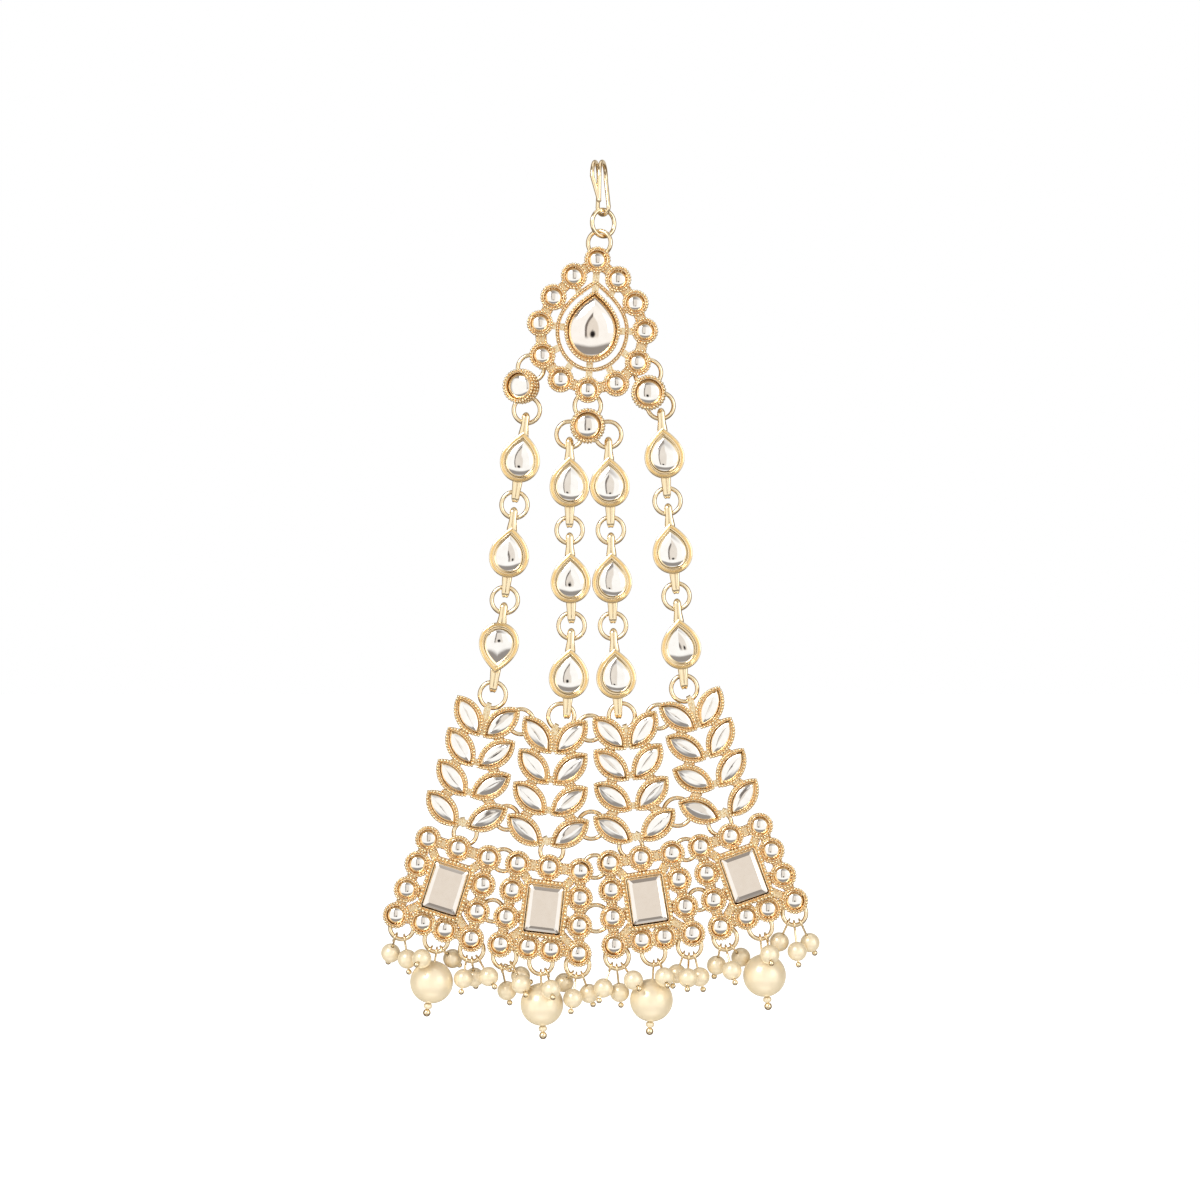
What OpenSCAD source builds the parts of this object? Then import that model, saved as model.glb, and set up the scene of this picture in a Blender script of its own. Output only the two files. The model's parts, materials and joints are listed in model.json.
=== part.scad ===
// Passa jhoomar headpiece: a hook, a crown casting with a pear stone, four strands of pear links,
// four leaf panels, four plaques and a fringe of pearls on head pins, hung together by jump rings.
// X runs to the right, Y to the back, Z up. The origin lies inside the bend of the hook.

/* [Hook] */
// Diameter of the hook wire
hook_wire = 0.8; // [0.7:0.05:0.9]
// Free gap inside the bend, from tongue to back legs
hook_gap = 5.2; // [5.1:0.1:6]
// Distance between the two wires at the bend
hook_spread = 1.4; // [1.2:0.05:1.8]
// Height from the inside of the bend to the wire of the eye
hook_drop = 9.3; // [9:0.1:12]
// Length of the tongue below the bend
tongue_len = 4.6; // [3.5:0.1:5]
// Radius of the eye, to the middle of its wire
eye_r = 1.5; // [1.45:0.05:1.7]
// Sideways place of the eye
eye_x = 0.8; // [0.6:0.1:1.2]

/* [Jump rings] */
// Diameter of the jump ring wire
ring_wire = 0.84; // [0.7:0.02:0.9]
// Diameter of a chain ring, to the middle of its wire
ring_d = 5.0; // [4.8:0.05:5.2]
// Diameter of a ring between a leaf panel and its plaque, to the middle of its wire
small_ring_d = 4.4; // [4.2:0.05:4.6]
// Diameter of the upper ring
upper_ring_d = 5.1; // [5:0.05:5.4]
// Diameter of the lower ring
lower_ring_d = 4.6; // [4.5:0.05:4.8]
// Diameter of the fringe rings
fringe_ring_d = 4.5; // [4.3:0.05:4.7]
// Opening angle of the slit in each ring
ring_slit = 5; // [2:1:8]

/* [Loops] */
// Metal round the hole of a back loop
loop_wall = 0.4; // [0.35:0.05:0.5]
// Width of a back loop along the ring wire
loop_w = 0.9; // [0.7:0.05:1]
// Distance from the middle of the ring wire to the back of a casting
ring_back = 1; // [0.98:0.02:1.1]
// Width of a bail on a pear link
bail_w = 1.5; // [1.3:0.05:1.6]
// Length of a bail from the edge of its link
bail_len = 3.8; // [3.6:0.1:3.9]
// Distance from the edge of a link to the ring wire in its bail
bail_reach = 1.8; // [1.65:0.05:1.9]
// Room above the ring wire in a bail
bail_slack = 0.55; // [0.5:0.05:0.6]

/* [Crown] */
// Distance between the outermost round stones across the crown
crown_w = 20; // [19.6:0.1:21]
// Distance between the top and bottom round stones
crown_h = 24.8; // [24.4:0.1:26]
// Width of the pear stone
crown_stone_w = 9.2; // [8.8:0.1:9.4]
// Height of the pear stone above its widest place
crown_stone_up = 6.7; // [6.3:0.1:6.9]
// Height of the pear stone below its widest place
crown_stone_down = 5.4; // [5.2:0.1:5.6]
// Depth of the pear setting
crown_setting_depth = 3; // [2.6:0.1:3.4]
// Gap between the pear setting and the open frame
crown_frame_gap = 1.05; // [0.9:0.05:1.1]
// Width of the open pear frame
crown_frame_w = 0.75; // [0.6:0.05:0.85]
// Depth of the open pear frame
crown_frame_depth = 1.2; // [1:0.1:1.5]

/* [Round settings] */
// Outer diameter of a round collet
collet_d = 4.8; // [4.6:0.05:4.9]
// Depth of a round collet
collet_depth = 1.9; // [1.7:0.05:2.2]
// Diameter of a round stone
round_stone_d = 3.4; // [3:0.05:3.5]
// Height of a round stone
round_stone_h = 0.95; // [0.8:0.05:1]
// Floor under a round stone
collet_floor = 0.5; // [0.4:0.05:0.6]
// Depth of the webs between settings
web_depth = 0.95; // [0.8:0.05:1.1]
// Width of the webs between settings
web_w = 1.3; // [1:0.1:1.6]

/* [Studs] */
// Outer diameter of a stud collet
stud_d = 6.2; // [6:0.05:6.4]
// Depth of a stud collet
stud_depth = 3; // [2.7:0.1:3.2]
// Diameter of a stud stone
stud_stone_d = 4.9; // [4.6:0.05:5]
// Turn of the left stud about the upright axis
stud_turn = 24; // [15:1:26]

/* [Pear links] */
// Width of the pear stone in a link
link_stone_w = 5.7; // [5.4:0.1:5.8]
// Height of a link stone above its widest place
link_stone_up = 4.55; // [4.4:0.05:4.75]
// Height of a link stone below its widest place
link_stone_down = 2.95; // [2.8:0.05:3.05]
// Width of the polished rim round a link stone
link_rim = 0.95; // [0.85:0.05:1]
// Depth of a pear link
link_depth = 2.8; // [2.4:0.1:3.2]

/* [Leaf panels] */
// Length of a leaf stone
leaf_stone_len = 7.2; // [6.8:0.1:7.3]
// Width of a leaf stone
leaf_stone_w = 3.2; // [3:0.05:3.3]
// Rim round a leaf stone, across the leaf
leaf_rim = 0.9; // [0.8:0.05:0.95]
// Rim past the points of a leaf stone
leaf_tip_rim = 0.75; // [0.7:0.05:0.8]
// Distance between leaf rows
leaf_pitch = 6.07; // [6:0.05:6.4]
// Depth of a leaf collet
leaf_depth = 1.9; // [1.7:0.05:2.2]
// Width of the webs between the rows of leaves
leaf_web_w = 1.7; // [1.4:0.1:2]

/* [Plaques] */
// Width of the rectangular stone
plaque_stone_w = 6.6; // [6.2:0.1:6.8]
// Height of the rectangular stone
plaque_stone_h = 8.8; // [8.4:0.1:9]
// Rim round the rectangular stone
plaque_rim = 1; // [0.9:0.05:1.1]
// Depth of the rectangular setting
plaque_setting_depth = 2.6; // [2.2:0.1:3]
// Distance between the lower corner stones of a plaque
plaque_w = 15; // [14.8:0.1:15.3]
// Distance between the top and bottom rows of round stones
plaque_h = 15.6; // [15.4:0.1:16]

/* [Pearls] */
// Diameter of a large pearl
large_pearl_d = 8.2; // [7.8:0.1:8.4]
// Diameter of a small pearl
small_pearl_d = 3.7; // [3.4:0.05:3.8]
// Diameter of the head pin wire
pin_wire = 0.4; // [0.35:0.01:0.44]
// Diameter of the ball that ends a small pin
small_ball_d = 1.1; // [0.9:0.05:1.2]
// Diameter of the ball that ends a large pin
large_ball_d = 1.5; // [1.3:0.05:1.6]
// Length of pin between a large pearl and its ball, where a seed bead sits
seed_gap = 1.1; // [0.9:0.05:1.3]

/* [Fits] */
// Gap between a ring wire and the loop that it passes through
ring_gap = 0.14; // [0.12:0.01:0.18]
// Extra room inside the wire loop of a head pin, so that it can lean
lean_gap = 0.1; // [0.08:0.01:0.14]
// Gap between a stone and its seat
stone_gap = 0.12; // [0.1:0.01:0.15]
// Gap between a pin and the bore of its pearl
bore_gap = 0.12; // [0.1:0.01:0.15]

/* [Hidden] */
$fn = 48;
GOLD = "#E6BE78";
GLASS = "#EDE9E2";
PEARL = "#F1E7C6";
STRANDS = [1:4];

// Derived radii
ring_wire_r = ring_wire / 2;
hook_wire_r = hook_wire / 2;
ring_r = ring_d / 2;
small_ring_r = small_ring_d / 2;
upper_ring_r = upper_ring_d / 2;
lower_ring_r = lower_ring_d / 2;
fringe_ring_r = fringe_ring_d / 2;
hole_r = ring_wire_r + ring_gap;
loop_r = hole_r + loop_wall;
collet_r = collet_d / 2;
pin_r = pin_wire / 2;

// The webs start a little in front of the backs of the settings
web_start = collet_floor / 3;
// Width of the stem of a back loop as a share of the loop
stem_share = 0.8;

// Every ring passes through its loops in one plane, straight below the back legs of the hook
bend_r = (hook_gap + hook_wire) / 2;
hang_y = bend_r;
plate_y = hang_y - ring_back;

// Turns about the upright axis, so that the eye and the two top rings link without touching
hook_twist = -12;
eye_twist = -46;
upper_twist = 34;
lower_twist = -20;

// Balls that round the elbows and the tip of the hook wire, as shares of the wire
elbow_ball = 1.06;
tip_ball = 1.15;

// How far a point setting grows at its tip for each step outward at its sides
tip_k = 1.27;
// How full the shoulders of a pear are
pear_power = 2.05;
// Points on each half of a pear outline
pear_steps = 14;

// Directions in the hanging plane are given as a distance and an angle from straight down
function down(angle, dist) = [dist * sin(angle), -dist * cos(angle)];
// A point of a piece that is turned clockwise by tilt about its centre
function placed(centre, tilt, p) =
    centre + [p.x * cos(tilt) + p.y * sin(tilt), -p.x * sin(tilt) + p.y * cos(tilt)];
// Radius and centre of a ring that passes through two loops
function span_r(a, b, r) = max(r, norm(b - a) / 2);
function span_c(a, b, r, side) =
    let (v = b - a, d = norm(v), rise = sqrt(max(0, span_r(a, b, r) ^ 2 - (d / 2) ^ 2)))
    (a + b) / 2 + side * rise * [-v.y, v.x] / d;

// Headings of the lower ring and of the crown, and the turn of the crown
lower_head = -11;
crown_head = -7;
crown_tilt = 4.2;

// Top of the chain
eye = [eye_x, -hook_drop];
upper_c = eye + down(0, upper_ring_r - ring_wire_r - hook_wire_r - ring_gap);
lower_c = upper_c + down(lower_head, upper_ring_r + lower_ring_r - ring_wire - ring_gap);
crown_top = lower_c + down(crown_head, lower_ring_r);

// Round stones of the crown, one side and the middle, and its three lower loops, each as shares of
// crown_w and crown_h
X = 0;
Y = 1;
crown_side = [[0.21, 0.407], [0.39, 0.234], [0.5, 0.026], [0.455, -0.218], [0.265, -0.391]];
crown_mid = [[0, 0.544], [0, -0.456]];
crown_spots = [for (p = concat(crown_mid, crown_side, [for (s = crown_side) [-s[X], s[Y]]]))
    [p[X] * crown_w, p[Y] * crown_h]];
crown_loop_top = crown_spots[0] + [0, collet_r / 2];
crown_loops = [for (p = [[-0.435, -0.295], [0, -0.472], [0.435, -0.295]])
    [p[X] * crown_w, p[Y] * crown_h]];
// How far in the bridges from the stones and the four spokes reach, as shares of the stones' places
bridge_share = 0.655;
spoke_share = 0.45;
crown_c = placed(crown_top, crown_tilt, -crown_loop_top);
crown_loop_points = [for (p = crown_loops) placed(crown_c, crown_tilt, p)];

// Rings from crown to studs, one row each: heading, chord as a share of the ring, side it bows to
HEAD = 0;
CHORD = 1;
SIDE = 2;
stud_hang = [[-54.6, 0.88, -1], [0, 1, 1], [46.9, 0.71, 1]];
stud_loops = [for (i = [0:2])
    crown_loop_points[i] + down(stud_hang[i][HEAD], stud_hang[i][CHORD] * ring_d)];
stud_loop_up = 0.235 * stud_d;
stud_c = [for (p = stud_loops) p - [0, stud_loop_up]];

// Starts of the strands, one row each: stud, loop beside and below its centre as shares of stud_d,
// heading of the first ring
STUD = 0;
BESIDE = 1;
BELOW = 2;
FIRST = 3;
strand_start = [[0, 0.05, 0.29, 0], [1, -0.2, 0.06, -63], [1, 0.24, 0.14, 75], [2, 0.03, 0.16, 58]];
// Headings of the three links of each strand
strand_heads = [[-7.4, -5.8, -7.5], [0, 1.2, -3], [1.6, 1.3, 3.5], [4.2, 5.4, 4.9]];
// Distance from the edge of the last link of each strand to the ring wire in its lower bail
last_reach = [1.8, 1.2, 0.98, 1.2];
// Which link of a strand hangs point down, or none
strand_flipped = [2, -1, -1, -1];
// Leaf panels below the strands: heading, chord as a share of the ring, side, tilt
TILT = 3;
panel_hang = [[-13.6, 0.99, 1, 12.2], [-28.2, 1, 1, 4.3], [18, 1, 1, -5.5], [15.3, 0.98, -1, -16.6]];
// Plaques below the leaf panels: heading, chord as a share of the ring, side, tilt
plaque_hang = [[-8, 0.95, 1, 17.5], [8.5, 0.95, 1, 6.8], [12.7, 0.76, -1, -8.7], [14, 0.84, -1, -19.5]];
// Heading of the fringe rings below each plaque
fringe_heads = [15, 8, 0, 11];

link_w = link_stone_w / 2 + link_rim;
link_up = link_stone_up + tip_k * link_rim;
link_down = link_stone_down + link_rim;
link_len = link_up + link_down + 2 * bail_reach;
strand_loop = [for (s = strand_start)
    stud_c[s[STUD]] + [s[BESIDE] * stud_d, -s[BELOW] * stud_d]];
function strand_ring(s, k) = k == 0
    ? strand_loop[s] + down(strand_start[s][FIRST], ring_r)
    : strand_ring(s, k - 1) + down(strand_heads[s][k - 1], ring_d + link_len);
function link_top(s, k) = strand_ring(s, k) + down(strand_heads[s][k], ring_r);
function end_reach(s, k) = k == 2 ? last_reach[s] : bail_reach;
function link_end(s, k) = link_top(s, k)
    + down(strand_heads[s][k], link_len - bail_reach + end_reach(s, k));
function flipped(s, k) = strand_flipped[s] == k;

// Leaf panel layout
leaf_half = leaf_stone_len / 2 + leaf_tip_rim;
leaf_wide = leaf_stone_w / 2 + leaf_rim;
// Angle of the leaves from the upright, and the gap from their inner tip to the middle as a share of
// leaf_half, for each row
ANGLE = 0;
TIP = 1;
leaf_rows = [[39.6, 0.1], [43.6, 0.105], [49, 0.11], [52, 0.21]];
function leaf_x(row) = leaf_half * (leaf_rows[row][TIP] + sin(leaf_rows[row][ANGLE]));
function leaf_dir(row) = [sin(leaf_rows[row][ANGLE]), cos(leaf_rows[row][ANGLE])];
function leaf_c(row) = [leaf_x(row), -row * leaf_pitch];
function flip_x(p, side) = [side * p.x, p.y];
// Height of the top loop of each panel as a share of leaf_half
panel_loop_up = [0.53, 0.32, 0.1, 0.53];
function panel_loop_top(s) = [0, panel_loop_up[s] * leaf_half];
// Places of the loops along a leaf, and how far in the webs reach along it, as shares of leaf_half
low_loop_share = 0.44;
side_loop_share = 0.41;
web_share = 0.72;
panel_loop_low = [0, -3 * leaf_pitch - low_loop_share * leaf_half];
panel_side_loops = [for (row = [0, 3]) leaf_c(row) + side_loop_share * leaf_half * leaf_dir(row)];
panel_top = [for (s = [0:3])
    link_end(s, 2) + down(panel_hang[s][HEAD], panel_hang[s][CHORD] * ring_d)];
panel_c = [for (s = [0:3]) placed(panel_top[s], panel_hang[s][TILT], -panel_loop_top(s))];

// Plaque layout: round stones as shares of plaque_w and plaque_h, one side and the middle
plaque_side = [[0.4, 0.51], [0.433, 0.18], [0.467, -0.155], [0.5, -0.493], [0.147, -0.48]];
plaque_mid = [0, 0.51];
function on_plaque(p, side = 1) = [side * p[X] * plaque_w, p[Y] * plaque_h];
plaque_spots = concat([on_plaque(plaque_mid)],
    [for (side = [-1, 1]) for (p = plaque_side) on_plaque(p, side)]);
// Loops on the back of a plaque, in the same shares
plaque_loop_top = on_plaque([0, 0.56]);
plaque_side_loops = [for (p = [[0.45, 0.51], [0.513, -0.12]]) on_plaque(p)];
plaque_low_loops = [for (p = [[-0.467, -0.51], [0, -0.53], [0.467, -0.51]]) on_plaque(p)];
plaque_top = [for (s = [0:3]) placed(panel_c[s], panel_hang[s][TILT], panel_loop_low)
    + down(plaque_hang[s][HEAD], plaque_hang[s][CHORD] * small_ring_d)];
plaque_c = [for (s = [0:3]) placed(plaque_top[s], plaque_hang[s][TILT], -plaque_loop_top)];
function fringe_loop(s, i) = placed(plaque_c[s], plaque_hang[s][TILT], plaque_low_loops[i]);
function fringe_c(s, i) = fringe_loop(s, i) + down(fringe_heads[s], fringe_ring_r);

// Large pearls: place beside and below the middle fringe ring
large_drop = [[-0.9, -8], [0.2, -8], [-0.4, -9], [0.8, -9.2]];
// Small pearls, one row each: fringe ring, angle of the pin on it, then the pearl's place from the
// middle of that ring to the side, to the back and down
RING = 0;
AT = 1;
ASIDE = 2;
BACK = 3;
LOW = 4;
small_drops = [
    [[0, -34, -2.3, 2.9, 5.2], [0, 14, 1, 0.6, 6.1], [1, -35, -2.6, -3.4, 3.2], [1, 35, 3, 2.4, 3.8],
     [2, -28, -1.6, -0.6, 5.5], [2, 2, 0.4, 2.8, 5.6], [2, 35, 3.3, -2.4, 4.9]],
    [[0, -14, 0.4, 1.4, 6.7], [0, 42, 3.2, -2.4, 5], [0, 14, 3, 1.6, 3.9], [1, 32, 2, -4.8, 4.6],
     [2, -36, -2.6, 2.3, 3.6], [2, -8, -0.9, -1.4, 6.2], [2, 26, 2.2, 1.6, 5.6]],
    [[0, -32, -2.6, -1.2, 5.8], [0, 0, 0.5, 1, 6.9], [0, 36, 3.1, -2.8, 4.1], [1, 32, 2, -3.4, 4.2],
     [2, -34, -2.4, 0.6, 5.4], [2, -4, -0.4, -2.8, 5.8], [2, 26, 2, 0.6, 6]],
    [[0, -26, -1.6, 1.6, 5.4], [0, 6, 1.2, -2.2, 6], [0, 38, 3.1, 2.8, 4], [1, 32, 1.6, -4.2, 4.8],
     [2, -34, -2.8, 1.4, 5.6], [2, 0, 0.5, -0.6, 7.2], [2, 34, 3.1, 2, 5.8]]];

// A piece in the hanging plane: X right, Y up and Z to the front, turned clockwise by tilt
module hung(centre, tilt, y, turn = 0) {
    translate([centre.x, y, centre.y]) rotate([0, tilt, 0]) rotate([90, 0, turn]) children();
}

// A straight wire
module rod(a, b, r) {
    d = b - a;
    translate(a) rotate([0, acos(d.z / norm(d)), atan2(d.y, d.x)]) cylinder(h = norm(d), r = r);
}

// A jump ring whose slit faces sideways from the heading of its loops
module jump_ring(centre, r, heading, twist = 0) {
    translate([centre.x, hang_y, centre.y]) rotate([0, -heading, twist]) rotate([90, 0, 0])
        rotate_extrude(angle = 360 - ring_slit) translate([r, 0]) circle(ring_wire_r);
}

// A loop on the back of a casting, with its hole along the wire of the ring about centre
module back_loop(p, centre, extra = 0, twist = 0) {
    radial = atan2(p.x - centre.x, p.y - centre.y);
    reach = ring_back + collet_floor / 2 + extra;
    translate([p.x, hang_y, p.y]) rotate([0, radial, twist]) rotate([0, 90, 0])
        linear_extrude(loop_w, center = true) difference() {
            union() {
                circle(loop_r);
                translate([-stem_share * loop_r, -reach]) square([2 * stem_share * loop_r, reach]);
            }
            circle(hole_r);
        }
}

// Pear outline about its widest place
function pear_points(w, up, low) = concat(
    [for (i = [0:pear_steps - 1]) let (a = 180 * i / pear_steps) [w * cos(a), -low * sin(a)]],
    [for (i = [0:pear_steps - 1]) let (t = i / pear_steps, y = up * sin(90 * t))
        [-w * (1 - (y / up) ^ pear_power), y]],
    [[0, up]],
    [for (i = [pear_steps - 1:-1:1]) let (t = i / pear_steps, y = up * sin(90 * t))
        [w * (1 - (y / up) ^ pear_power), y]]);

// Leaf outline: two arcs that meet in two points
module leaf_shape(half, wide) {
    arc_r = (half ^ 2 + wide ^ 2) / (2 * wide);
    intersection() {
        translate([0, wide - arc_r]) circle(arc_r, $fn = 96);
        translate([0, arc_r - wide]) circle(arc_r, $fn = 96);
    }
}
function leaf_points(half, wide, steps = 6) =
    let (arc_r = (half ^ 2 + wide ^ 2) / (2 * wide), open = asin(half / arc_r))
    [for (side = [1, -1]) for (i = [0:steps - 1]) let (a = open * (1 - 2 * i / steps))
        side * [arc_r * sin(a), arc_r * cos(a) + wide - arc_r]];

function round_points(r, n = 12) = [for (i = [0:n - 1]) r * [cos(360 * i / n), sin(360 * i / n)]];
function flat_points(w, h, cut) = [for (q = [[1, 1], [-1, 1], [-1, -1], [1, -1]])
    for (p = q.x * q.y > 0 ? [[w / 2, h / 2 - cut], [w / 2 - cut, h / 2]]
                           : [[w / 2 - cut, h / 2], [w / 2, h / 2 - cut]]) [q.x * p.x, q.y * p.y]];

// Cuts of the stones as shares of the depth of their setting: floor, girdle and top, then the size of
// the table as a share of the stone
FLOOR = 0;
GIRDLE = 1;
TOP = 2;
TABLE = 3;
pear_cut = [0.4, 0.8, 1.2, 0.68];
stud_cut = [0.5, 0.75, 0.95, 0.6];
link_cut = [0.45, 0.75, 1.1, 0.62];
leaf_cut = [0.26, 0.6, 0.92, 0.55];
flat_cut = [0.35, 0.65, 0.98, 0.74];
round_table = 0.66;
// Corners cut off a rectangular stone
flat_corner = 0.3;

// A stone on the floor of its setting
module seated_stone(points, depth, cut) {
    cut_stone(points, cut[FLOOR] * depth + stone_gap, cut[GIRDLE] * depth, cut[TOP] * depth, cut[TABLE]);
}

// A cut stone: flat back, upright girdle, bevel facets and a flat table
module cut_stone(points, low, girdle, high, table) {
    n = len(points);
    levels = [[1, low], [1, girdle], [table, high]];
    polyhedron(
        points = [for (l = levels) for (p = points) [p.x * l[0], p.y * l[0], l[1]]],
        faces = concat(
            [[for (i = [0:n - 1]) i]],
            [for (l = [0:1]) for (i = [0:n - 1]) let (j = (i + 1) % n)
                [l * n + i, (l + 1) * n + i, (l + 1) * n + j, l * n + j]],
            [[for (i = [n - 1:-1:0]) 2 * n + i]]));
}

// A flat bar from one point to another
module bar(a, b, w) {
    translate(a) rotate(atan2(b.y - a.y, b.x - a.x)) translate([0, -w / 2]) square([norm(b - a), w]);
}

// The seat of a round stone, opening towards the front
module round_seat(r, floor_z, depth) {
    translate([0, 0, floor_z]) cylinder(h = depth - floor_z, r1 = r + stone_gap, r2 = r + 3 * stone_gap);
    translate([0, 0, depth]) cylinder(h = 1, r = r + 3 * stone_gap);
}

module round_stone() {
    low = collet_floor + stone_gap;
    cut_stone(round_points(round_stone_d / 2), low, low + round_stone_h / 2, low + round_stone_h,
        round_table);
}

module hook() color(GOLD) {
    up = [0, 0, -(bend_r - hook_wire_r)];
    tip = [0, -bend_r, up.z - tongue_len];
    for (side = [-1, 1]) {
        // Ends of the bend, turned with it
        across = side * hook_spread / 2;
        back = [across * cos(hook_twist) - bend_r * sin(hook_twist),
            across * sin(hook_twist) + bend_r * cos(hook_twist), up.z];
        front = [across * cos(hook_twist) + bend_r * sin(hook_twist),
            across * sin(hook_twist) - bend_r * cos(hook_twist), up.z];
        eye_end = [eye.x + side * eye_r * cos(eye_twist), hang_y + side * eye_r * sin(eye_twist),
            eye.y + eye_r];
        translate(up) rotate([0, 0, hook_twist]) translate([across, 0, 0]) rotate([90, 0, 90])
            rotate_extrude(angle = 180) translate([bend_r, 0]) circle(hook_wire_r);
        rod(back, eye_end, hook_wire_r);
        rod(front, tip, hook_wire_r);
        for (p = [back, front, eye_end]) translate(p) sphere(hook_wire_r * elbow_ball);
    }
    translate(tip) sphere(hook_wire_r * tip_ball);
    translate([eye.x, hang_y, eye.y + eye_r]) rotate([0, 0, eye_twist]) rotate([90, 0, 0])
        rotate([0, 0, 180]) rotate_extrude(angle = 180) translate([eye_r, 0]) circle(hook_wire_r);
}

module upper_ring() color(GOLD) jump_ring(upper_c, upper_ring_r, 0, upper_twist);

module lower_ring() color(GOLD) jump_ring(lower_c, lower_ring_r, lower_head, lower_twist);

module crown_frame() color(GOLD) {
    w = crown_stone_w / 2;
    wall = 5 * stone_gap;
    inner = wall + crown_frame_gap;
    outer = inner + crown_frame_w;
    difference() {
        union() {
            hung(crown_c, crown_tilt, plate_y) {
                for (p = crown_spots) translate(p) cylinder(h = collet_depth, r = collet_r);
                linear_extrude(crown_setting_depth)
                    polygon(pear_points(w + wall, crown_stone_up + tip_k * wall, crown_stone_down + wall));
                linear_extrude(crown_frame_depth) difference() {
                    polygon(pear_points(w + outer, crown_stone_up + tip_k * outer,
                        crown_stone_down + outer));
                    polygon(pear_points(w + inner, crown_stone_up + tip_k * inner,
                        crown_stone_down + inner));
                }
                translate([0, 0, web_start]) linear_extrude(web_depth - web_start) {
                    for (p = crown_spots) bar(p, bridge_share * p, web_w);
                    for (i = [0, 1, 4, 9])
                        bar(crown_spots[i] * bridge_share, crown_spots[i] * spoke_share, web_w);
                    for (side = [0, 5]) for (i = [2:5])
                        bar(crown_spots[i + side], crown_spots[i + side + 1], web_w);
                    for (i = [2, 7]) bar(crown_spots[0], crown_spots[i], web_w);
                    for (i = [6, 11]) bar(crown_spots[1], crown_spots[i], web_w);
                }
            }
            back_loop(crown_top, lower_c, 0, lower_twist);
            for (i = [0:2]) back_loop(crown_loop_points[i], crown_ring_c(i));
        }
        hung(crown_c, crown_tilt, plate_y) {
            for (p = crown_spots) translate(p) round_seat(round_stone_d / 2, collet_floor, collet_depth);
            translate([0, 0, pear_cut[FLOOR] * crown_setting_depth]) linear_extrude(crown_setting_depth)
                polygon(pear_points(w + stone_gap, crown_stone_up + tip_k * stone_gap,
                    crown_stone_down + stone_gap));
        }
    }
}
function crown_ring_c(i) = span_c(crown_loop_points[i], stud_loops[i], ring_r, stud_hang[i][SIDE]);

module crown_pear_stone() color(GLASS) hung(crown_c, crown_tilt, plate_y)
    seated_stone(pear_points(crown_stone_w / 2, crown_stone_up, crown_stone_down), crown_setting_depth,
        pear_cut);

module crown_round_stones() color(GLASS) hung(crown_c, crown_tilt, plate_y)
    for (p = crown_spots) translate(p) round_stone();

// The left stud stands forward of the others, because it is turned
function stud_twist(i) = i == 0 ? -stud_turn : 0;
function stud_y(i) = plate_y - stud_d / 2 * sin(abs(stud_twist(i)));
module stud(i) color(GOLD) {
    forward = plate_y - stud_y(i) + (i == 0 ? collet_floor : 0);
    difference() {
        union() {
            translate([stud_c[i].x, stud_y(i), stud_c[i].y]) rotate([90, 0, stud_twist(i)])
                cylinder(h = stud_depth, r = stud_d / 2);
            back_loop(stud_loops[i], crown_ring_c(i), forward);
            for (s = [0:3]) if (strand_start[s][STUD] == i)
                back_loop(strand_loop[s], strand_ring(s, 0), forward);
        }
        translate([stud_c[i].x, stud_y(i), stud_c[i].y]) rotate([90, 0, stud_twist(i)])
            round_seat(stud_stone_d / 2, stud_cut[FLOOR] * stud_depth, stud_depth);
    }
}
module stud_left() stud(0);
module stud_centre() stud(1);
module stud_right() stud(2);

module stud_stones() color(GLASS) for (i = [0:2])
    translate([stud_c[i].x, stud_y(i), stud_c[i].y]) rotate([90, 0, stud_twist(i)])
        seated_stone(round_points(stud_stone_d / 2, 16), stud_depth, stud_cut);

module crown_rings() color(GOLD) for (i = [0:2])
    jump_ring(crown_ring_c(i), span_r(crown_loop_points[i], stud_loops[i], ring_r), stud_hang[i][HEAD]);

// A bail in the upright plane of the ring wire, from the edge of a link to past its ring
module bail(reach) {
    slot_start = reach - bail_slack;
    slot_end = bail_len - loop_r;
    rotate([0, 90, 0]) linear_extrude(bail_w, center = true) difference() {
        union() {
            translate([-(bail_len - loop_r), 0]) circle(loop_r);
            translate([-(bail_len - loop_r), -loop_r]) square([bail_len - loop_r + link_rim, 2 * loop_r]);
        }
        translate([-slot_start, 0]) circle(hole_r);
        translate([-slot_end, 0]) circle(hole_r);
        translate([-slot_end, -hole_r]) square([slot_end - slot_start, 2 * hole_r]);
    }
}

// The back of a link, behind the middle of the ring wire
link_back = 0.6;
link_y = hang_y + link_back;
// Middle of a link, at the widest place of its pear
function link_c(s, k) = link_top(s, k)
    + down(strand_heads[s][k], bail_reach + (flipped(s, k) ? link_down : link_up));
function link_turn(s, k) = -strand_heads[s][k] + (flipped(s, k) ? 180 : 0);
module strand_links(s) color(GOLD) for (k = [0:2]) {
    difference() {
        union() {
            hung(link_c(s, k), link_turn(s, k), link_y) linear_extrude(link_depth)
                polygon(pear_points(link_w, link_up, link_down));
            for (side = [1, -1]) {
                edge = side > 0 ? link_up : link_down;
                translate([link_c(s, k).x, hang_y, link_c(s, k).y]) rotate([0, link_turn(s, k), 0])
                    translate([0, 0, side * edge]) rotate([0, side > 0 ? 0 : 180, 0])
                        bail((side > 0) == flipped(s, k) ? end_reach(s, k) : bail_reach);
            }
        }
        hung(link_c(s, k), link_turn(s, k), link_y) translate([0, 0, link_cut[FLOOR] * link_depth])
            linear_extrude(link_depth)
                polygon(pear_points(link_stone_w / 2 + stone_gap, link_stone_up + tip_k * stone_gap,
                    link_stone_down + stone_gap));
    }
}

module strand_stones(s) color(GLASS) for (k = [0:2])
    hung(link_c(s, k), link_turn(s, k), link_y)
        seated_stone(pear_points(link_stone_w / 2, link_stone_up, link_stone_down), link_depth, link_cut);

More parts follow.
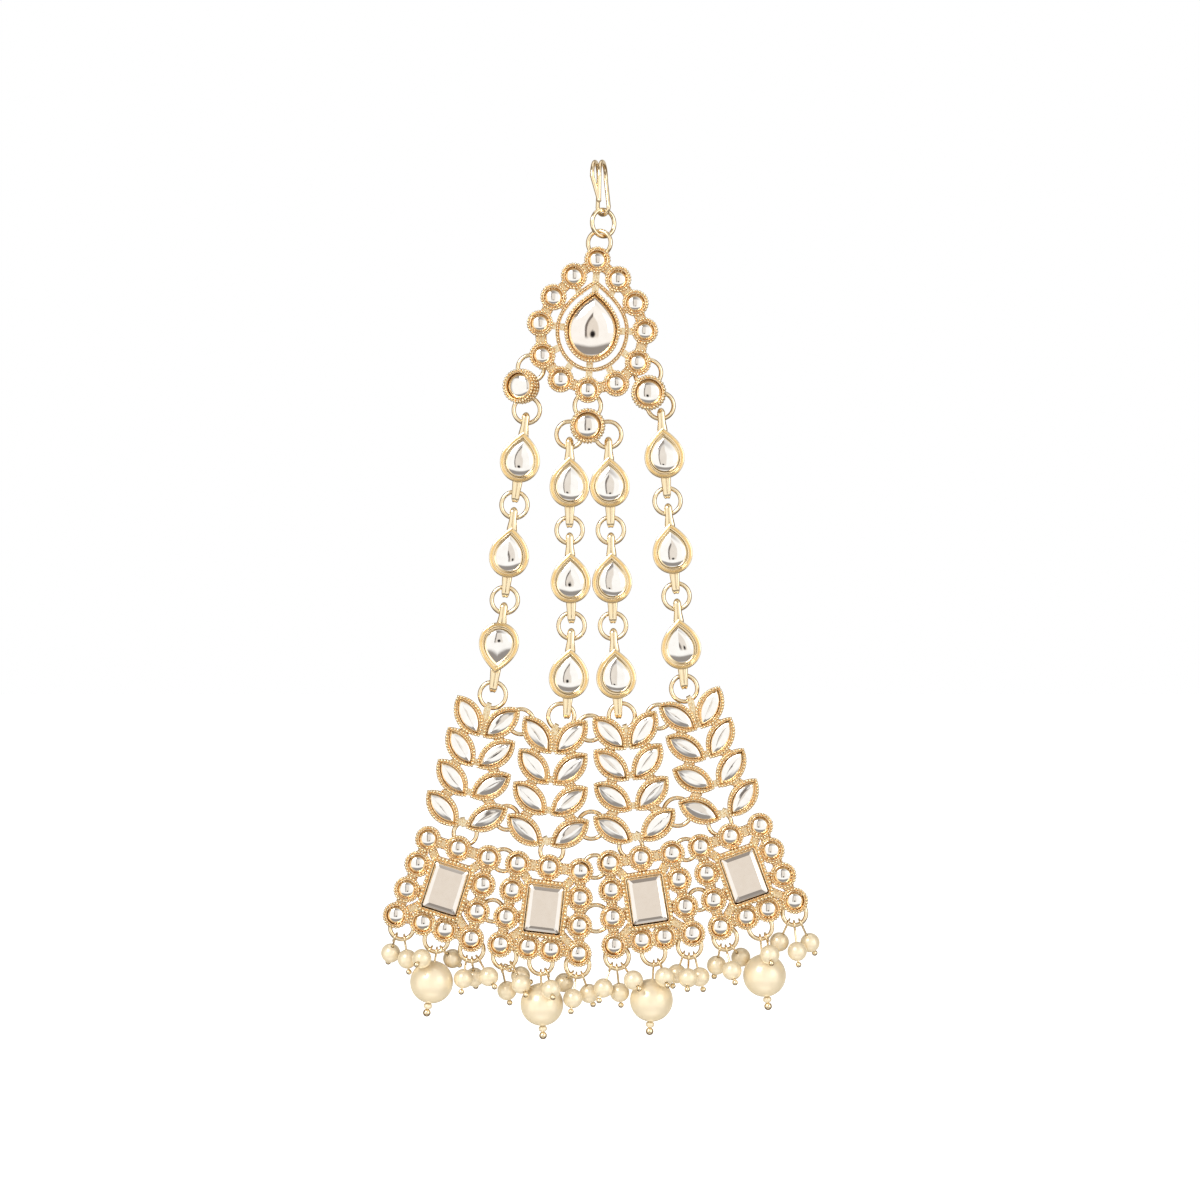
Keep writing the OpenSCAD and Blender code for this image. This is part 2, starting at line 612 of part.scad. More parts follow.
function panel_ring_c(s) =
    span_c(link_end(s, 2), panel_top[s], ring_r, panel_hang[s][SIDE]);
module strand_rings(s) color(GOLD) {
    jump_ring(strand_ring(s, 0), ring_r, (strand_start[s][FIRST] + strand_heads[s][0]) / 2);
    for (k = [1, 2]) jump_ring(strand_ring(s, k), ring_r, strand_heads[s][k]);
    jump_ring(panel_ring_c(s), span_r(link_end(s, 2), panel_top[s], ring_r), panel_hang[s][HEAD]);
}

module at_leaf(row, side) {
    translate(flip_x(leaf_c(row), side)) rotate(90 - side * leaf_rows[row][ANGLE]) children();
}

// Loops of a leaf panel in the hanging plane, and the rings that pass through them
function panel_point(s, p) = placed(panel_c[s], panel_hang[s][TILT], p);
function leaf_side_a(s, i) = panel_point(s, panel_side_loops[i]);
function leaf_side_b(s, i) = panel_point(s + 1, flip_x(panel_side_loops[i], -1));
function leaf_side_c(s, i) = span_c(leaf_side_a(s, i), leaf_side_b(s, i), 0, 1);
function plaque_ring_c(s) =
    span_c(panel_point(s, panel_loop_low), plaque_top[s], small_ring_r, plaque_hang[s][SIDE]);

module leaf_panel(s) color(GOLD) {
    difference() {
        union() {
            hung(panel_c[s], panel_hang[s][TILT], plate_y) {
                for (side = [-1, 1]) for (row = [0:3]) at_leaf(row, side)
                    linear_extrude(leaf_depth) leaf_shape(leaf_half, leaf_wide);
                translate([0, 0, web_start]) linear_extrude(web_depth - web_start) {
                    for (side = [-1, 1]) for (row = [0:2])
                        bar(flip_x(leaf_c(row) - leaf_half / 2 * leaf_dir(row), side),
                            flip_x(leaf_c(row + 1) + leaf_half / 2 * leaf_dir(row + 1), side), leaf_web_w);
                    for (row = [0:3]) {
                        inner = leaf_c(row) - web_share * leaf_half * leaf_dir(row);
                        bar(flip_x(inner, -1), inner, web_w);
                    }
                    bar([0, -web_share * leaf_half], panel_loop_top(s), web_w);
                }
            }
            back_loop(panel_top[s], panel_ring_c(s));
            back_loop(panel_point(s, panel_loop_low), plaque_ring_c(s));
            for (i = [0, 1]) {
                if (s < 3) back_loop(leaf_side_a(s, i), leaf_side_c(s, i));
                if (s > 0) back_loop(leaf_side_b(s - 1, i), leaf_side_c(s - 1, i));
            }
        }
        hung(panel_c[s], panel_hang[s][TILT], plate_y) for (side = [-1, 1]) for (row = [0:3])
            at_leaf(row, side) translate([0, 0, leaf_cut[FLOOR] * leaf_depth]) linear_extrude(leaf_depth)
                leaf_shape(leaf_stone_len / 2 + tip_k * stone_gap, leaf_stone_w / 2 + stone_gap);
    }
}

module leaf_stones(s) color(GLASS) hung(panel_c[s], panel_hang[s][TILT], plate_y)
    for (side = [-1, 1]) for (row = [0:3]) at_leaf(row, side)
        seated_stone(leaf_points(leaf_stone_len / 2, leaf_stone_w / 2), leaf_depth, leaf_cut);

module leaf_side_rings() color(GOLD) for (s = [0:2]) for (i = [0, 1])
    jump_ring(leaf_side_c(s, i), span_r(leaf_side_a(s, i), leaf_side_b(s, i), 0), 90);

module panel_plaque_rings() color(GOLD) for (s = [0:3])
    jump_ring(plaque_ring_c(s), span_r(panel_point(s, panel_loop_low), plaque_top[s], small_ring_r),
        plaque_hang[s][HEAD]);

// Loops of a plaque in the hanging plane, and the rings between plaques
function plaque_point(s, p) = placed(plaque_c[s], plaque_hang[s][TILT], p);
function plaque_side_a(s, i) = plaque_point(s, plaque_side_loops[i]);
function plaque_side_b(s, i) = plaque_point(s + 1, flip_x(plaque_side_loops[i], -1));
function plaque_side_c(s, i) = span_c(plaque_side_a(s, i), plaque_side_b(s, i), 0, 1);

module plaque(s) color(GOLD) {
    order = [5, 4, 3, 2, 1, 0, 6, 7, 8, 9, 10];
    setting_w = plaque_stone_w + 2 * plaque_rim;
    setting_h = plaque_stone_h + 2 * plaque_rim;
    difference() {
        union() {
            hung(plaque_c[s], plaque_hang[s][TILT], plate_y) {
                for (p = plaque_spots) translate(p) cylinder(h = collet_depth, r = collet_r);
                linear_extrude(plaque_setting_depth) square([setting_w, setting_h], center = true);
                translate([0, 0, web_start]) linear_extrude(web_depth - web_start) {
                    for (i = [0:9]) bar(plaque_spots[order[i]], plaque_spots[order[i + 1]], web_w);
                    bar(plaque_spots[5], plaque_spots[10], web_w);
                    for (i = [0, 2, 3, 5, 7, 8, 10]) bar(plaque_spots[i], plaque_spots[i] * 0.5, web_w);
                }
            }
            back_loop(plaque_top[s], plaque_ring_c(s));
            for (i = [0:2]) back_loop(fringe_loop(s, i), fringe_c(s, i));
            for (i = [0, 1]) {
                if (s < 3) back_loop(plaque_side_a(s, i), plaque_side_c(s, i));
                if (s > 0) back_loop(plaque_side_b(s - 1, i), plaque_side_c(s - 1, i));
            }
        }
        hung(plaque_c[s], plaque_hang[s][TILT], plate_y) {
            for (p = plaque_spots) translate(p) round_seat(round_stone_d / 2, collet_floor, collet_depth);
            translate([0, 0, flat_cut[FLOOR] * plaque_setting_depth]) linear_extrude(plaque_setting_depth)
                square([plaque_stone_w + 2 * stone_gap, plaque_stone_h + 2 * stone_gap], center = true);
        }
    }
}

module plaque_centre_stone(s) color(GLASS) hung(plaque_c[s], plaque_hang[s][TILT], plate_y)
    seated_stone(flat_points(plaque_stone_w, plaque_stone_h, flat_corner), plaque_setting_depth, flat_cut);

module plaque_round_stones(s) color(GLASS) hung(plaque_c[s], plaque_hang[s][TILT], plate_y)
    for (p = plaque_spots) translate(p) round_stone();

module plaque_side_rings() color(GOLD) for (s = [0:2]) for (i = [0, 1])
    jump_ring(plaque_side_c(s, i), span_r(plaque_side_a(s, i), plaque_side_b(s, i), 0), 90);

module fringe_rings() color(GOLD) for (s = [0:3]) for (i = [0:2])
    jump_ring(fringe_c(s, i), fringe_ring_r, fringe_heads[s]);

// A pin starts on its ring and points at the middle of its pearl
function on_ring(s, ring, at) =
    let (p = fringe_c(s, ring) + down(at, fringe_ring_r)) [p.x, hang_y, p.y];
function large_at(s) = on_ring(s, 1, 0);
function large_mid(s) = [fringe_c(s, 1).x + large_drop[s].x, hang_y, fringe_c(s, 1).y + large_drop[s].y];
function small_at(s, row) = on_ring(s, row[RING], row[AT]);
function small_mid(s, row) = [fringe_c(s, row[RING]).x + row[ASIDE], hang_y + row[BACK],
    fringe_c(s, row[RING]).y - row[LOW]];

// The wire draws thinner where it is bent round a ring, as a share of the straight pin
bent_share = 0.9;

// Turns the upward axis of its children onto a direction
module along(d) {
    rotate([0, acos(d.z / norm(d)), atan2(d.y, d.x)]) children();
}

// A head pin: wire loop round the ring, shaft through the pearl and a ball below it
module head_pin(at, mid, ring_at, pearl_r, ball_r, gap) {
    d = mid - at;
    u = d / norm(d);
    tangent = [cos(ring_at), 0, sin(ring_at)];
    normal = tangent - (tangent * u) * u;
    loop_mid = ring_wire_r + ring_gap + lean_gap + pin_r;
    reach = norm(d) + pearl_r + gap + ball_r;
    translate(at) along(normal) rotate_extrude() translate([loop_mid, 0]) circle(bent_share * pin_r);
    rod(at + u * loop_mid, at + u * (reach + ball_r / 2), pin_r);
    translate(at + u * reach) sphere(ball_r);
}

module pearl(at, mid, r) {
    d = mid - at;
    translate(mid) along(d) difference() {
        sphere(r);
        cylinder(h = 3 * r, r = pin_r + bore_gap, center = true);
    }
}

module large_pearl(s) color(PEARL) pearl(large_at(s), large_mid(s), large_pearl_d / 2);

module headpins(s) color(GOLD) {
    head_pin(large_at(s), large_mid(s), 0, large_pearl_d / 2, large_ball_d / 2, seed_gap);
    for (row = small_drops[s])
        head_pin(small_at(s, row), small_mid(s, row), row[AT], small_pearl_d / 2, small_ball_d / 2,
            ring_gap);
}

module small_pearls(s) color(PEARL) for (row = small_drops[s])
    pearl(small_at(s, row), small_mid(s, row), small_pearl_d / 2);

hook();
upper_ring();
lower_ring();
crown_frame();
crown_pear_stone();
crown_round_stones();
stud_left();
stud_centre();
stud_right();
stud_stones();
crown_rings();
leaf_side_rings();
panel_plaque_rings();
plaque_side_rings();
fringe_rings();
for (k = STRANDS) {
    strand_links(k - 1);
    strand_rings(k - 1);
    strand_stones(k - 1);
    leaf_panel(k - 1);
    leaf_stones(k - 1);
    plaque(k - 1);
    plaque_centre_stone(k - 1);
    plaque_round_stones(k - 1);
    large_pearl(k - 1);
    headpins(k - 1);
    small_pearls(k - 1);
}
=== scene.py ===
import json
import math
import random

import bmesh
import bpy
import numpy as np
from mathutils import Matrix, Vector


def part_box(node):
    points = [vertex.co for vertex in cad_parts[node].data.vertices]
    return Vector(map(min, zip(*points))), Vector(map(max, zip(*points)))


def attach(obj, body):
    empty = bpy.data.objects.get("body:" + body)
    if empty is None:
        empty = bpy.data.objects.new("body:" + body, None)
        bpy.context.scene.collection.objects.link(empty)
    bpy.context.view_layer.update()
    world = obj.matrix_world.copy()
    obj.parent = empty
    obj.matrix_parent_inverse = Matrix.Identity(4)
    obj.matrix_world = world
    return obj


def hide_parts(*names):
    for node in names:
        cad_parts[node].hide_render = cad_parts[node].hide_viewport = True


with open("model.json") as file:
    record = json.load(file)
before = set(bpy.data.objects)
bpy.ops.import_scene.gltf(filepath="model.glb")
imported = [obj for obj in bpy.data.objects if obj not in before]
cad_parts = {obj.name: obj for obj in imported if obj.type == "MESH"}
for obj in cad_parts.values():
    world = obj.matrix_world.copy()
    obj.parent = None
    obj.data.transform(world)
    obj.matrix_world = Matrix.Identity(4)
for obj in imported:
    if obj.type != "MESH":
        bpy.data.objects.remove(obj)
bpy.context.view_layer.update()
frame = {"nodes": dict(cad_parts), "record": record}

# Sizes in metres, as the frame has them
MM = 0.001
# Depths of the middles of the hanging rings, of the backs of the castings and of the links' backs
HANG_Y = 3.0 * MM
PLATE_Y = 2.0 * MM
LINK_Y = 3.6 * MM
COLLET_STONE_R = 1.7 * MM
STUD_STONE_R = 2.45 * MM
STUD_SIDES = 40
# From the back of a stud to the middle of its stone's corners
STUD_STONE_MIDDLE = 2.22 * MM
# Pears: half width, and heights above and below the widest place
PEAR_SIZE = (4.6 * MM, 6.7 * MM, 5.4 * MM)
LINK_SIZE = (2.85 * MM, 4.55 * MM, 2.95 * MM)
# Leaves: half length and half width. Flat stones: width and height
LEAF_SIZE = (3.6 * MM, 1.6 * MM)
FLAT_SIZE = (6.6 * MM, 8.8 * MM)
FLAT_CORNER = 0.25 * MM
FLAT_STONE_CORNER = 0.3 * MM
LARGE_PEARL_R = 4.1 * MM
# Radius of the ball at the foot of a head pin
BALL_R = 0.75 * MM
STRANDS = (1, 2, 3, 4)

# Angles in degrees: the castings' tilt in the picture plane, the left stud's turn to the side, and
# how far the flat stones and the crown's pear stone lean
CROWN_TILT = 4.2
PLAQUE_TILTS = (17.5, 6.8, -8.7, -19.5)
STUD_TURN = -24
FLAT_LEAN = -1.6
PEAR_LEAN = 5

# An outline grows by more at the point of a pear, and by less along a leaf, as in the solids
TIP_GROWTH = 1.27
LEAF_TIP_GROWTH = 0.84
PEAR_POWER = 2.05

# Depth below the top of a rim, in mm, at which the painted shade of the plating is darkest
PAINTED_SHADE_DEPTH = 0.3
# Pitch and radius of the milgrain beads of each casting, in mm. They are 0.45 mm apart on the real
# piece, drawn a little coarser so that they show
MILGRAIN = {"crown": (0.6, 0.27), "studs": (0.62, 0.28), "leaves": (0.6, 0.28),
            "plaques": (0.6, 0.27), "centres": (0.76, 0.35)}
# Sockets of a colour mix node, whose names repeat for each type of data
MIX_FACTOR, MIX_A, MIX_B, MIX_RESULT = 0, 6, 7, 2


def turned(degrees, axis):
    """A turn about one axis."""
    return Matrix.Rotation(math.radians(degrees), 4, axis)


def place(x, y, z, tilt=0, turn=0):
    """The plane of a hanging piece: X right, Y up and Z to the front, tilted clockwise."""
    turns = turned(tilt, "Y") @ turned(turn, "Z")
    return Matrix.Translation((x, y, z)) @ turns @ turned(90, "X")


def solids_of(node):
    """Corners of each separate solid of a CAD node, from the top down."""
    bm = bmesh.new()
    bm.from_mesh(frame["nodes"][node].data)
    bmesh.ops.remove_doubles(bm, verts=bm.verts, dist=0.001 * MM)
    found = []
    seen = set()
    for first in bm.verts:
        if first in seen:
            continue
        seen.add(first)
        group = [first]
        for v in group:
            for e in v.link_edges:
                w = e.other_vert(v)
                if w not in seen:
                    seen.add(w)
                    group.append(w)
        found.append([v.co.copy() for v in group])
    bm.free()
    return sorted(found, key=lambda c: (-round(sum(p.z for p in c) / len(c), 5), c[0].x))


def middle(corners):
    """Mean of some corners."""
    return sum(corners, Vector()) / len(corners)


def pear_place(corners, up, y):
    """Plane of a pear stone, with its middle at the widest place, from its corners."""
    mean = middle(corners)
    end = max(corners, key=lambda p: (p - mean).length)
    other = max(corners, key=lambda p: (p - end).length)
    # The corners crowd towards the point of the pear
    tip, base = sorted((end, other), key=lambda p: (p - mean).length)
    axis = Vector((tip.x - base.x, 0, tip.z - base.z)).normalized()
    centre = Vector((tip.x, 0, tip.z)) - axis * up
    return place(centre.x, y, centre.z, math.degrees(math.atan2(axis.x, axis.z)))


def leaf_place(corners, y):
    """Plane of a marquise stone, with X along the leaf, from its two points."""
    mid = middle(corners)
    tip = max(corners, key=lambda p: (p.x - mid.x) ** 2 + (p.z - mid.z) ** 2)
    far = max(corners, key=lambda p: (p.x - tip.x) ** 2 + (p.z - tip.z) ** 2)
    lead = tip if tip.z > far.z else far
    back = far if tip.z > far.z else tip
    angle = math.degrees(math.atan2(lead.z - back.z, lead.x - back.x))
    return place((tip.x + far.x) / 2, y, (tip.z + far.z) / 2, -angle)


# Outlines are functions of how far they have grown past the edge of their stone
def round_outline(r, count=32):
    """A circle."""
    return lambda grow: [((r + grow) * math.cos(2 * math.pi * i / count),
                          (r + grow) * math.sin(2 * math.pi * i / count)) for i in range(count)]


def pear_outline(w, up, low, steps=18):
    """Half ellipse below and a pointed arch above, growing faster at the point."""
    def grown(grow):
        wide, high, deep = w + grow, up + TIP_GROWTH * grow, low + grow
        below = [(wide * math.cos(a), -deep * math.sin(a))
                 for a in (math.pi * i / steps for i in range(steps))]
        rise = [math.sin(math.pi / 2 * i / steps) for i in range(steps)]
        left = [(-wide * (1 - t ** PEAR_POWER), high * t) for t in rise]
        right = [(wide * (1 - t ** PEAR_POWER), high * t) for t in reversed(rise[1:])]
        return below + left + [(0, high)] + right
    return grown


def leaf_outline(half, wide, steps=14):
    """Two arcs that meet in two points."""
    def grown(grow):
        h, w = half + LEAF_TIP_GROWTH * grow, wide + grow
        arc = (h * h + w * w) / (2 * w)
        spread = math.asin(h / arc)
        angles = [spread * (1 - 2 * i / steps) for i in range(steps)]
        upper = [(arc * math.sin(a), arc * math.cos(a) + w - arc) for a in angles]
        return upper + [(-x, -y) for x, y in upper]
    return grown


def flat_outline(w, h, corner=FLAT_CORNER, steps=4):
    """A rectangle with small round corners, which widen as it grows."""
    def grown(grow):
        r = max(corner + grow, 0.05 * MM)
        points = []
        for k, (sx, sy) in enumerate(((1, 1), (-1, 1), (-1, -1), (1, -1))):
            cx, cy = sx * (w / 2 - corner), sy * (h / 2 - corner)
            for i in range(steps + 1):
                a = math.pi / 2 * (k + i / steps)
                points.append((cx + r * math.cos(a), cy + r * math.sin(a)))
        return points
    return grown


def loft(bm, at, rings, closed=False, painted_shade=()):
    """Skin through rings of points. The ends are capped, or joined where the section is closed.
    Its last argument tells how deep each ring lies, from 0 to 1, which sets the painted shade of
    the plating there."""
    layer = bm.verts.layers.float.get("painted_shade") or bm.verts.layers.float.new("painted_shade")
    rows = [[bm.verts.new(at @ Vector(p)) for p in ring] for ring in rings]
    for row, depth in zip(rows, painted_shade):
        for v in row:
            v[layer] = depth
    pairs = list(zip(rows, rows[1:] + rows[:1])) if closed else list(zip(rows, rows[1:]))
    for a, b in pairs:
        for i in range(len(a)):
            j = (i + 1) % len(a)
            bm.faces.new((a[i], a[j], b[j], b[i]))
    if not closed:
        bm.faces.new(rows[0])
        bm.faces.new(rows[-1])


def setting(bm, at, outline, profile, closed=False):
    """A rim that follows an outline. profile holds its growth past the edge of the stone and its
    height, in mm."""
    # Rings below the top of the rim get painted shade by their depth
    top = max(h for _, h in profile)
    loft(bm, at, [[(x, y, h * MM) for x, y in outline(g * MM)] for g, h in profile], closed,
         [min(1, (top - h) / PAINTED_SHADE_DEPTH) for _, h in profile])


def hang(obj, replaces=()):
    """Lets a piece move with the drop."""
    bpy.context.scene.collection.objects.link(obj)
    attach(obj, "drop")
    if replaces:
        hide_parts(*replaces)


def piece(name, bm, slot, replaces=(), smooth=40):
    """A finished piece of the drop, from its mesh. Edges are sharp where they turn by more than
    smooth, in degrees, and all of them are where it is 0."""
    bmesh.ops.recalc_face_normals(bm, faces=bm.faces)
    mesh = bpy.data.meshes.new(name)
    bm.to_mesh(mesh)
    bm.free()
    if smooth:
        mesh.shade_smooth()
        mesh.set_sharp_from_angle(angle=math.radians(smooth))
    mesh.materials.append(BY_SLOT[slot])
    hang(bpy.data.objects.new(name, mesh), replaces)


def linear(hex_colour):
    """Linear colour of an sRGB hex value."""
    parts = [int(hex_colour[i:i + 2], 16) / 255 for i in (1, 3, 5)]
    return tuple(c / 12.92 if c <= 0.04045 else ((c + 0.055) / 1.055) ** 2.4 for c in parts) + (1,)


def add(tree, kind, inputs=(), links=(), **settings):
    """One node with its settings, input values and incoming links."""
    node = tree.nodes.new(kind)
    for key, value in settings.items():
        setattr(node, key, value)
    for key, value in dict(inputs).items():
        node.inputs[key].default_value = value
    for key, source in dict(links).items():
        tree.links.new(source, node.inputs[key])
    return node


def new_material(name):
    """An empty material with its output node."""
    mat = bpy.data.materials.new(name)
    mat.use_nodes = True
    mat.node_tree.nodes.clear()
    return mat, add(mat.node_tree, "ShaderNodeOutputMaterial")


def polished_gold_plate():
    """Gold plate on drawn and tumbled brass: mirror bright, with faint waves."""
    mat, out = new_material("polished_gold_plate")
    tree = mat.node_tree
    where = add(tree, "ShaderNodeTexCoord").outputs["Object"]
    waves = add(tree, "ShaderNodeTexNoise", {"Scale": 700, "Detail": 2}, {"Vector": where})
    rough = add(tree, "ShaderNodeMapRange", {"To Min": 0.07, "To Max": 0.17},
                {"Value": waves.outputs["Fac"]})
    tone = add(tree, "ShaderNodeMix", {MIX_A: linear("#F9E2B6"), MIX_B: linear("#FFF0D0")},
               {MIX_FACTOR: waves.outputs["Fac"]}, data_type="RGBA")
    bump = add(tree, "ShaderNodeBump", {"Strength": 0.12, "Distance": 0.05 * MM},
               {"Height": waves.outputs["Fac"]})
    shader = add(tree, "ShaderNodeBsdfPrincipled", {"Metallic": 1},
                 {"Base Color": tone.outputs[MIX_RESULT], "Roughness": rough.outputs["Result"],
                  "Normal": bump.outputs["Normal"]})
    tree.links.new(shader.outputs["BSDF"], out.inputs["Surface"])
    return mat


def cast_gold_plate():
    """Gold plate on a brass casting. The skin keeps the grain of the mould, and its pits are
    darker.
    The recesses below the rims are darker with depth, a painted shade. The grain is about 0.15 mm,
    drawn at twice that so that it shows."""
    mat, out = new_material("cast_gold_plate")
    tree = mat.node_tree
    where = add(tree, "ShaderNodeTexCoord").outputs["Object"]
    grain = add(tree, "ShaderNodeTexNoise", {"Scale": 2600, "Detail": 3, "Roughness": 0.6},
                {"Vector": where})
    pits = add(tree, "ShaderNodeTexVoronoi", {"Scale": 2400}, {"Vector": where})
    relief = add(tree, "ShaderNodeMath",
                 links={0: grain.outputs["Fac"], 1: pits.outputs["Distance"]}, operation="ADD")
    wear = add(tree, "ShaderNodeMapRange", {"From Min": 0.55, "From Max": 1.05},
               {"Value": relief.outputs["Value"]})
    skin = add(tree, "ShaderNodeMix", {MIX_A: linear("#E9BC78"), MIX_B: linear("#FFF0CC")},
               {MIX_FACTOR: wear.outputs["Result"]}, data_type="RGBA")
    # Painted shade: the plating is mixed towards a darker amber by the depth of each ring below
    # its rim
    painted_shade = add(tree, "ShaderNodeAttribute", attribute_name="painted_shade")
    tone = add(tree, "ShaderNodeMix", {MIX_B: linear("#E4B474")},
               {MIX_FACTOR: painted_shade.outputs["Fac"], MIX_A: skin.outputs[MIX_RESULT]},
               data_type="RGBA")
    rough = add(tree, "ShaderNodeMapRange", {"To Min": 0.14, "To Max": 0.3},
                {"Value": grain.outputs["Fac"]})
    bump = add(tree, "ShaderNodeBump", {"Strength": 0.5, "Distance": 0.09 * MM},
               {"Height": relief.outputs["Value"]})
    shader = add(tree, "ShaderNodeBsdfPrincipled", {"Metallic": 1},
                 {"Base Color": tone.outputs[MIX_RESULT], "Roughness": rough.outputs["Result"],
                  "Normal": bump.outputs["Normal"]})
    tree.links.new(shader.outputs["BSDF"], out.inputs["Surface"])
    return mat


def foiled_glass(name, light, dark, rough, ripple):
    """Moulded glass with a silver foil back. It mirrors the room, and its foil is a bit cloudy."""
    mat, out = new_material(name)
    tree = mat.node_tree
    where = add(tree, "ShaderNodeTexCoord").outputs["Object"]
    haze = add(tree, "ShaderNodeTexNoise", {"Scale": 900, "Detail": 2}, {"Vector": where})
    tone = add(tree, "ShaderNodeMix", {MIX_A: linear(dark), MIX_B: linear(light)},
               {MIX_FACTOR: haze.outputs["Fac"]}, data_type="RGBA")
    bump = add(tree, "ShaderNodeBump", {"Strength": ripple, "Distance": 0.06 * MM},
               {"Height": haze.outputs["Fac"]})
    shader = add(tree, "ShaderNodeBsdfPrincipled", {"Metallic": 1, "Roughness": rough},
                 {"Base Color": tone.outputs[MIX_RESULT], "Normal": bump.outputs["Normal"]})
    tree.links.new(shader.outputs["BSDF"], out.inputs["Surface"])
    return mat


def pearl_lacquer():
    """Imitation pearl: glass dipped in nacre lacquer, satin with a clear coat and faint clouds."""
    mat, out = new_material("pearl_lacquer")
    tree = mat.node_tree
    where = add(tree, "ShaderNodeTexCoord").outputs["Object"]
    clouds = add(tree, "ShaderNodeTexNoise", {"Scale": 350, "Detail": 2}, {"Vector": where})
    tone = add(tree, "ShaderNodeMix", {MIX_A: linear("#ECDAB4"), MIX_B: linear("#F8E9CE")},
               {MIX_FACTOR: clouds.outputs["Fac"]}, data_type="RGBA")
    # Painted shade: the colour turns darker towards the pearl's outline
    edge = add(tree, "ShaderNodeLayerWeight", {"Blend": 0.3})
    body = add(tree, "ShaderNodeMix", {MIX_B: linear("#E8D6AC")},
               {MIX_FACTOR: edge.outputs["Facing"], MIX_A: tone.outputs[MIX_RESULT]},
               data_type="RGBA")
    rough = add(tree, "ShaderNodeMapRange", {"To Min": 0.26, "To Max": 0.36},
                {"Value": clouds.outputs["Fac"]})
    shader = add(tree, "ShaderNodeBsdfPrincipled",
                 {"Metallic": 0.28, "Coat Weight": 0.6, "Coat Roughness": 0.14},
                 {"Base Color": body.outputs[MIX_RESULT], "Roughness": rough.outputs["Result"]})
    tree.links.new(shader.outputs["BSDF"], out.inputs["Surface"])
    return mat


# The material of each slot of the record
BY_SLOT = {"polished_gold": polished_gold_plate(), "cast_gold": cast_gold_plate(),
           "foiled_glass": foiled_glass("foiled_glass", "#FFFEFB", "#EFEBE6", 0.06, 0.08),
           "mirror_glass": foiled_glass("mirror_glass", "#FBF6F0", "#F1E9E0", 0.05, 0.004),
           "pearl": pearl_lacquer()}


def dress_frame():
    """Gives every CAD node the material of its slot."""
    for part in frame["record"]["subparts"]:
        obj = frame["nodes"][part["node"]]
        if not obj.material_slots:
            obj.data.materials.append(None)
        for held in obj.material_slots:
            held.material = BY_SLOT[part["material_slot"]]


# Sections of the rims as pairs of growth and height in mm, from the back of the outer wall over
# the rim to the seat of the stone
COLLET_RIM = ((0.7, 0.25), (0.72, 1.6), (0.7, 1.9), (0.6, 1.97), (0.36, 1.97), (0.29, 2.16),
              (0.22, 2.2), (0.16, 2.12), (0.02, 1.5), (0.02, 0.66))
STUD_RIM = ((0.66, 0.3), (0.68, 2.7), (0.65, 3), (0.58, 3.07), (0.34, 3.07), (0.27, 3.26),
            (0.2, 3.3), (0.14, 3.2), (0.03, 2.4), (0.03, 1.6))
PEAR_RIM = ((0.62, 0.3), (0.64, 2.7), (0.61, 3), (0.54, 3.07), (0.3, 3.07), (0.23, 3.24),
            (0.17, 3.28), (0.12, 3.2), (0.02, 2.4), (0.02, 1.5))
LEAF_RIM = ((0.9, 0.3), (0.92, 1.6), (0.89, 1.9), (0.78, 1.97), (0.36, 1.97), (0.26, 2.14),
            (0.19, 2.18), (0.14, 2.1), (0.02, 1.6), (0.02, 0.8))
FLAT_RIM = ((1.02, 0.3), (1.04, 2.3), (1, 2.6), (0.9, 2.68), (0.42, 2.68), (0.32, 2.9),
            (0.24, 2.94), (0.18, 2.86), (0.01, 2.3), (0.01, 1.2))
# Two raised edges with a groove between them
LINK_RIM = ((0.6, 0), (0.84, 0.22), (0.95, 0.8), (0.97, 1.6), (0.96, 2.2), (0.93, 2.42),
            (0.86, 2.56), (0.76, 2.6), (0.66, 2.54), (0.58, 2.4), (0.52, 2.36), (0.46, 2.44),
            (0.38, 2.66), (0.28, 2.78), (0.18, 2.76), (0.1, 2.6), (0.06, 2.3), (0.04, 1.4))
# The open frame round the crown's pear, a closed section
FRAME_BAND = ((1.66, 0.12), (1.63, 0.85), (1.7, 1.15), (1.88, 1.34), (2.16, 1.34), (2.34, 1.15),
              (2.42, 0.85), (2.39, 0.12))
# Growth and height in mm of the rows of milgrain beads
COLLET_BEADS = (0.6, 2.0)
STUD_BEADS = ((0.54, 3.1), (0.68, 1.1), (0.68, 2.2))
PEAR_BEADS = (0.52, 3.1)
BAND_BEADS = (2.02, 1.36)
LEAF_BEADS = (0.68, 2.02)
FLAT_BEADS = (0.8, 2.7)


def level_seats(node, tilt):
    """Planes of the stones of a node that have the tilt of their casting."""
    return [place(m.x, PLATE_Y, m.z, tilt) for m in (middle(c) for c in solids_of(node))]


CROWN_PEAR = pear_place(solids_of("crown_pear_stone")[0], PEAR_SIZE[1], PLATE_Y)
CROWN_SEATS = level_seats("crown_round_stones", CROWN_TILT)
PLAQUE_SEATS = [level_seats(f"plaque_round_stones_{k}", PLAQUE_TILTS[k - 1]) for k in STRANDS]
FLAT_SEATS = [level_seats(f"plaque_centre_stone_{k}", PLAQUE_TILTS[k - 1])[0] for k in STRANDS]
LEAF_SEATS = [[leaf_place(c, PLATE_Y) for c in solids_of(f"leaf_stones_{k}")] for k in STRANDS]
LINK_SEATS = [[pear_place(c, LINK_SIZE[1], LINK_Y) for c in solids_of(f"strand_stones_{k}")]
              for k in STRANDS]


def stud_seats():
    """Planes of the three studs. The left one is turned, and its back edge touches the plate."""
    found = []
    for corners in sorted(solids_of("stud_stones"), key=lambda c: middle(c).x):
        m = middle(corners)
        turn = STUD_TURN if not found else 0
        front = Vector((math.sin(math.radians(turn)), -math.cos(math.radians(turn)), 0))
        base = m - front * STUD_STONE_MIDDLE
        found.append(place(base.x, base.y, base.z, 0, turn))
    return found


STUD_SEATS = stud_seats()

# The lines that the milgrain beads follow, as a list of closed loops for each casting
paths = {group: [] for group in MILGRAIN}
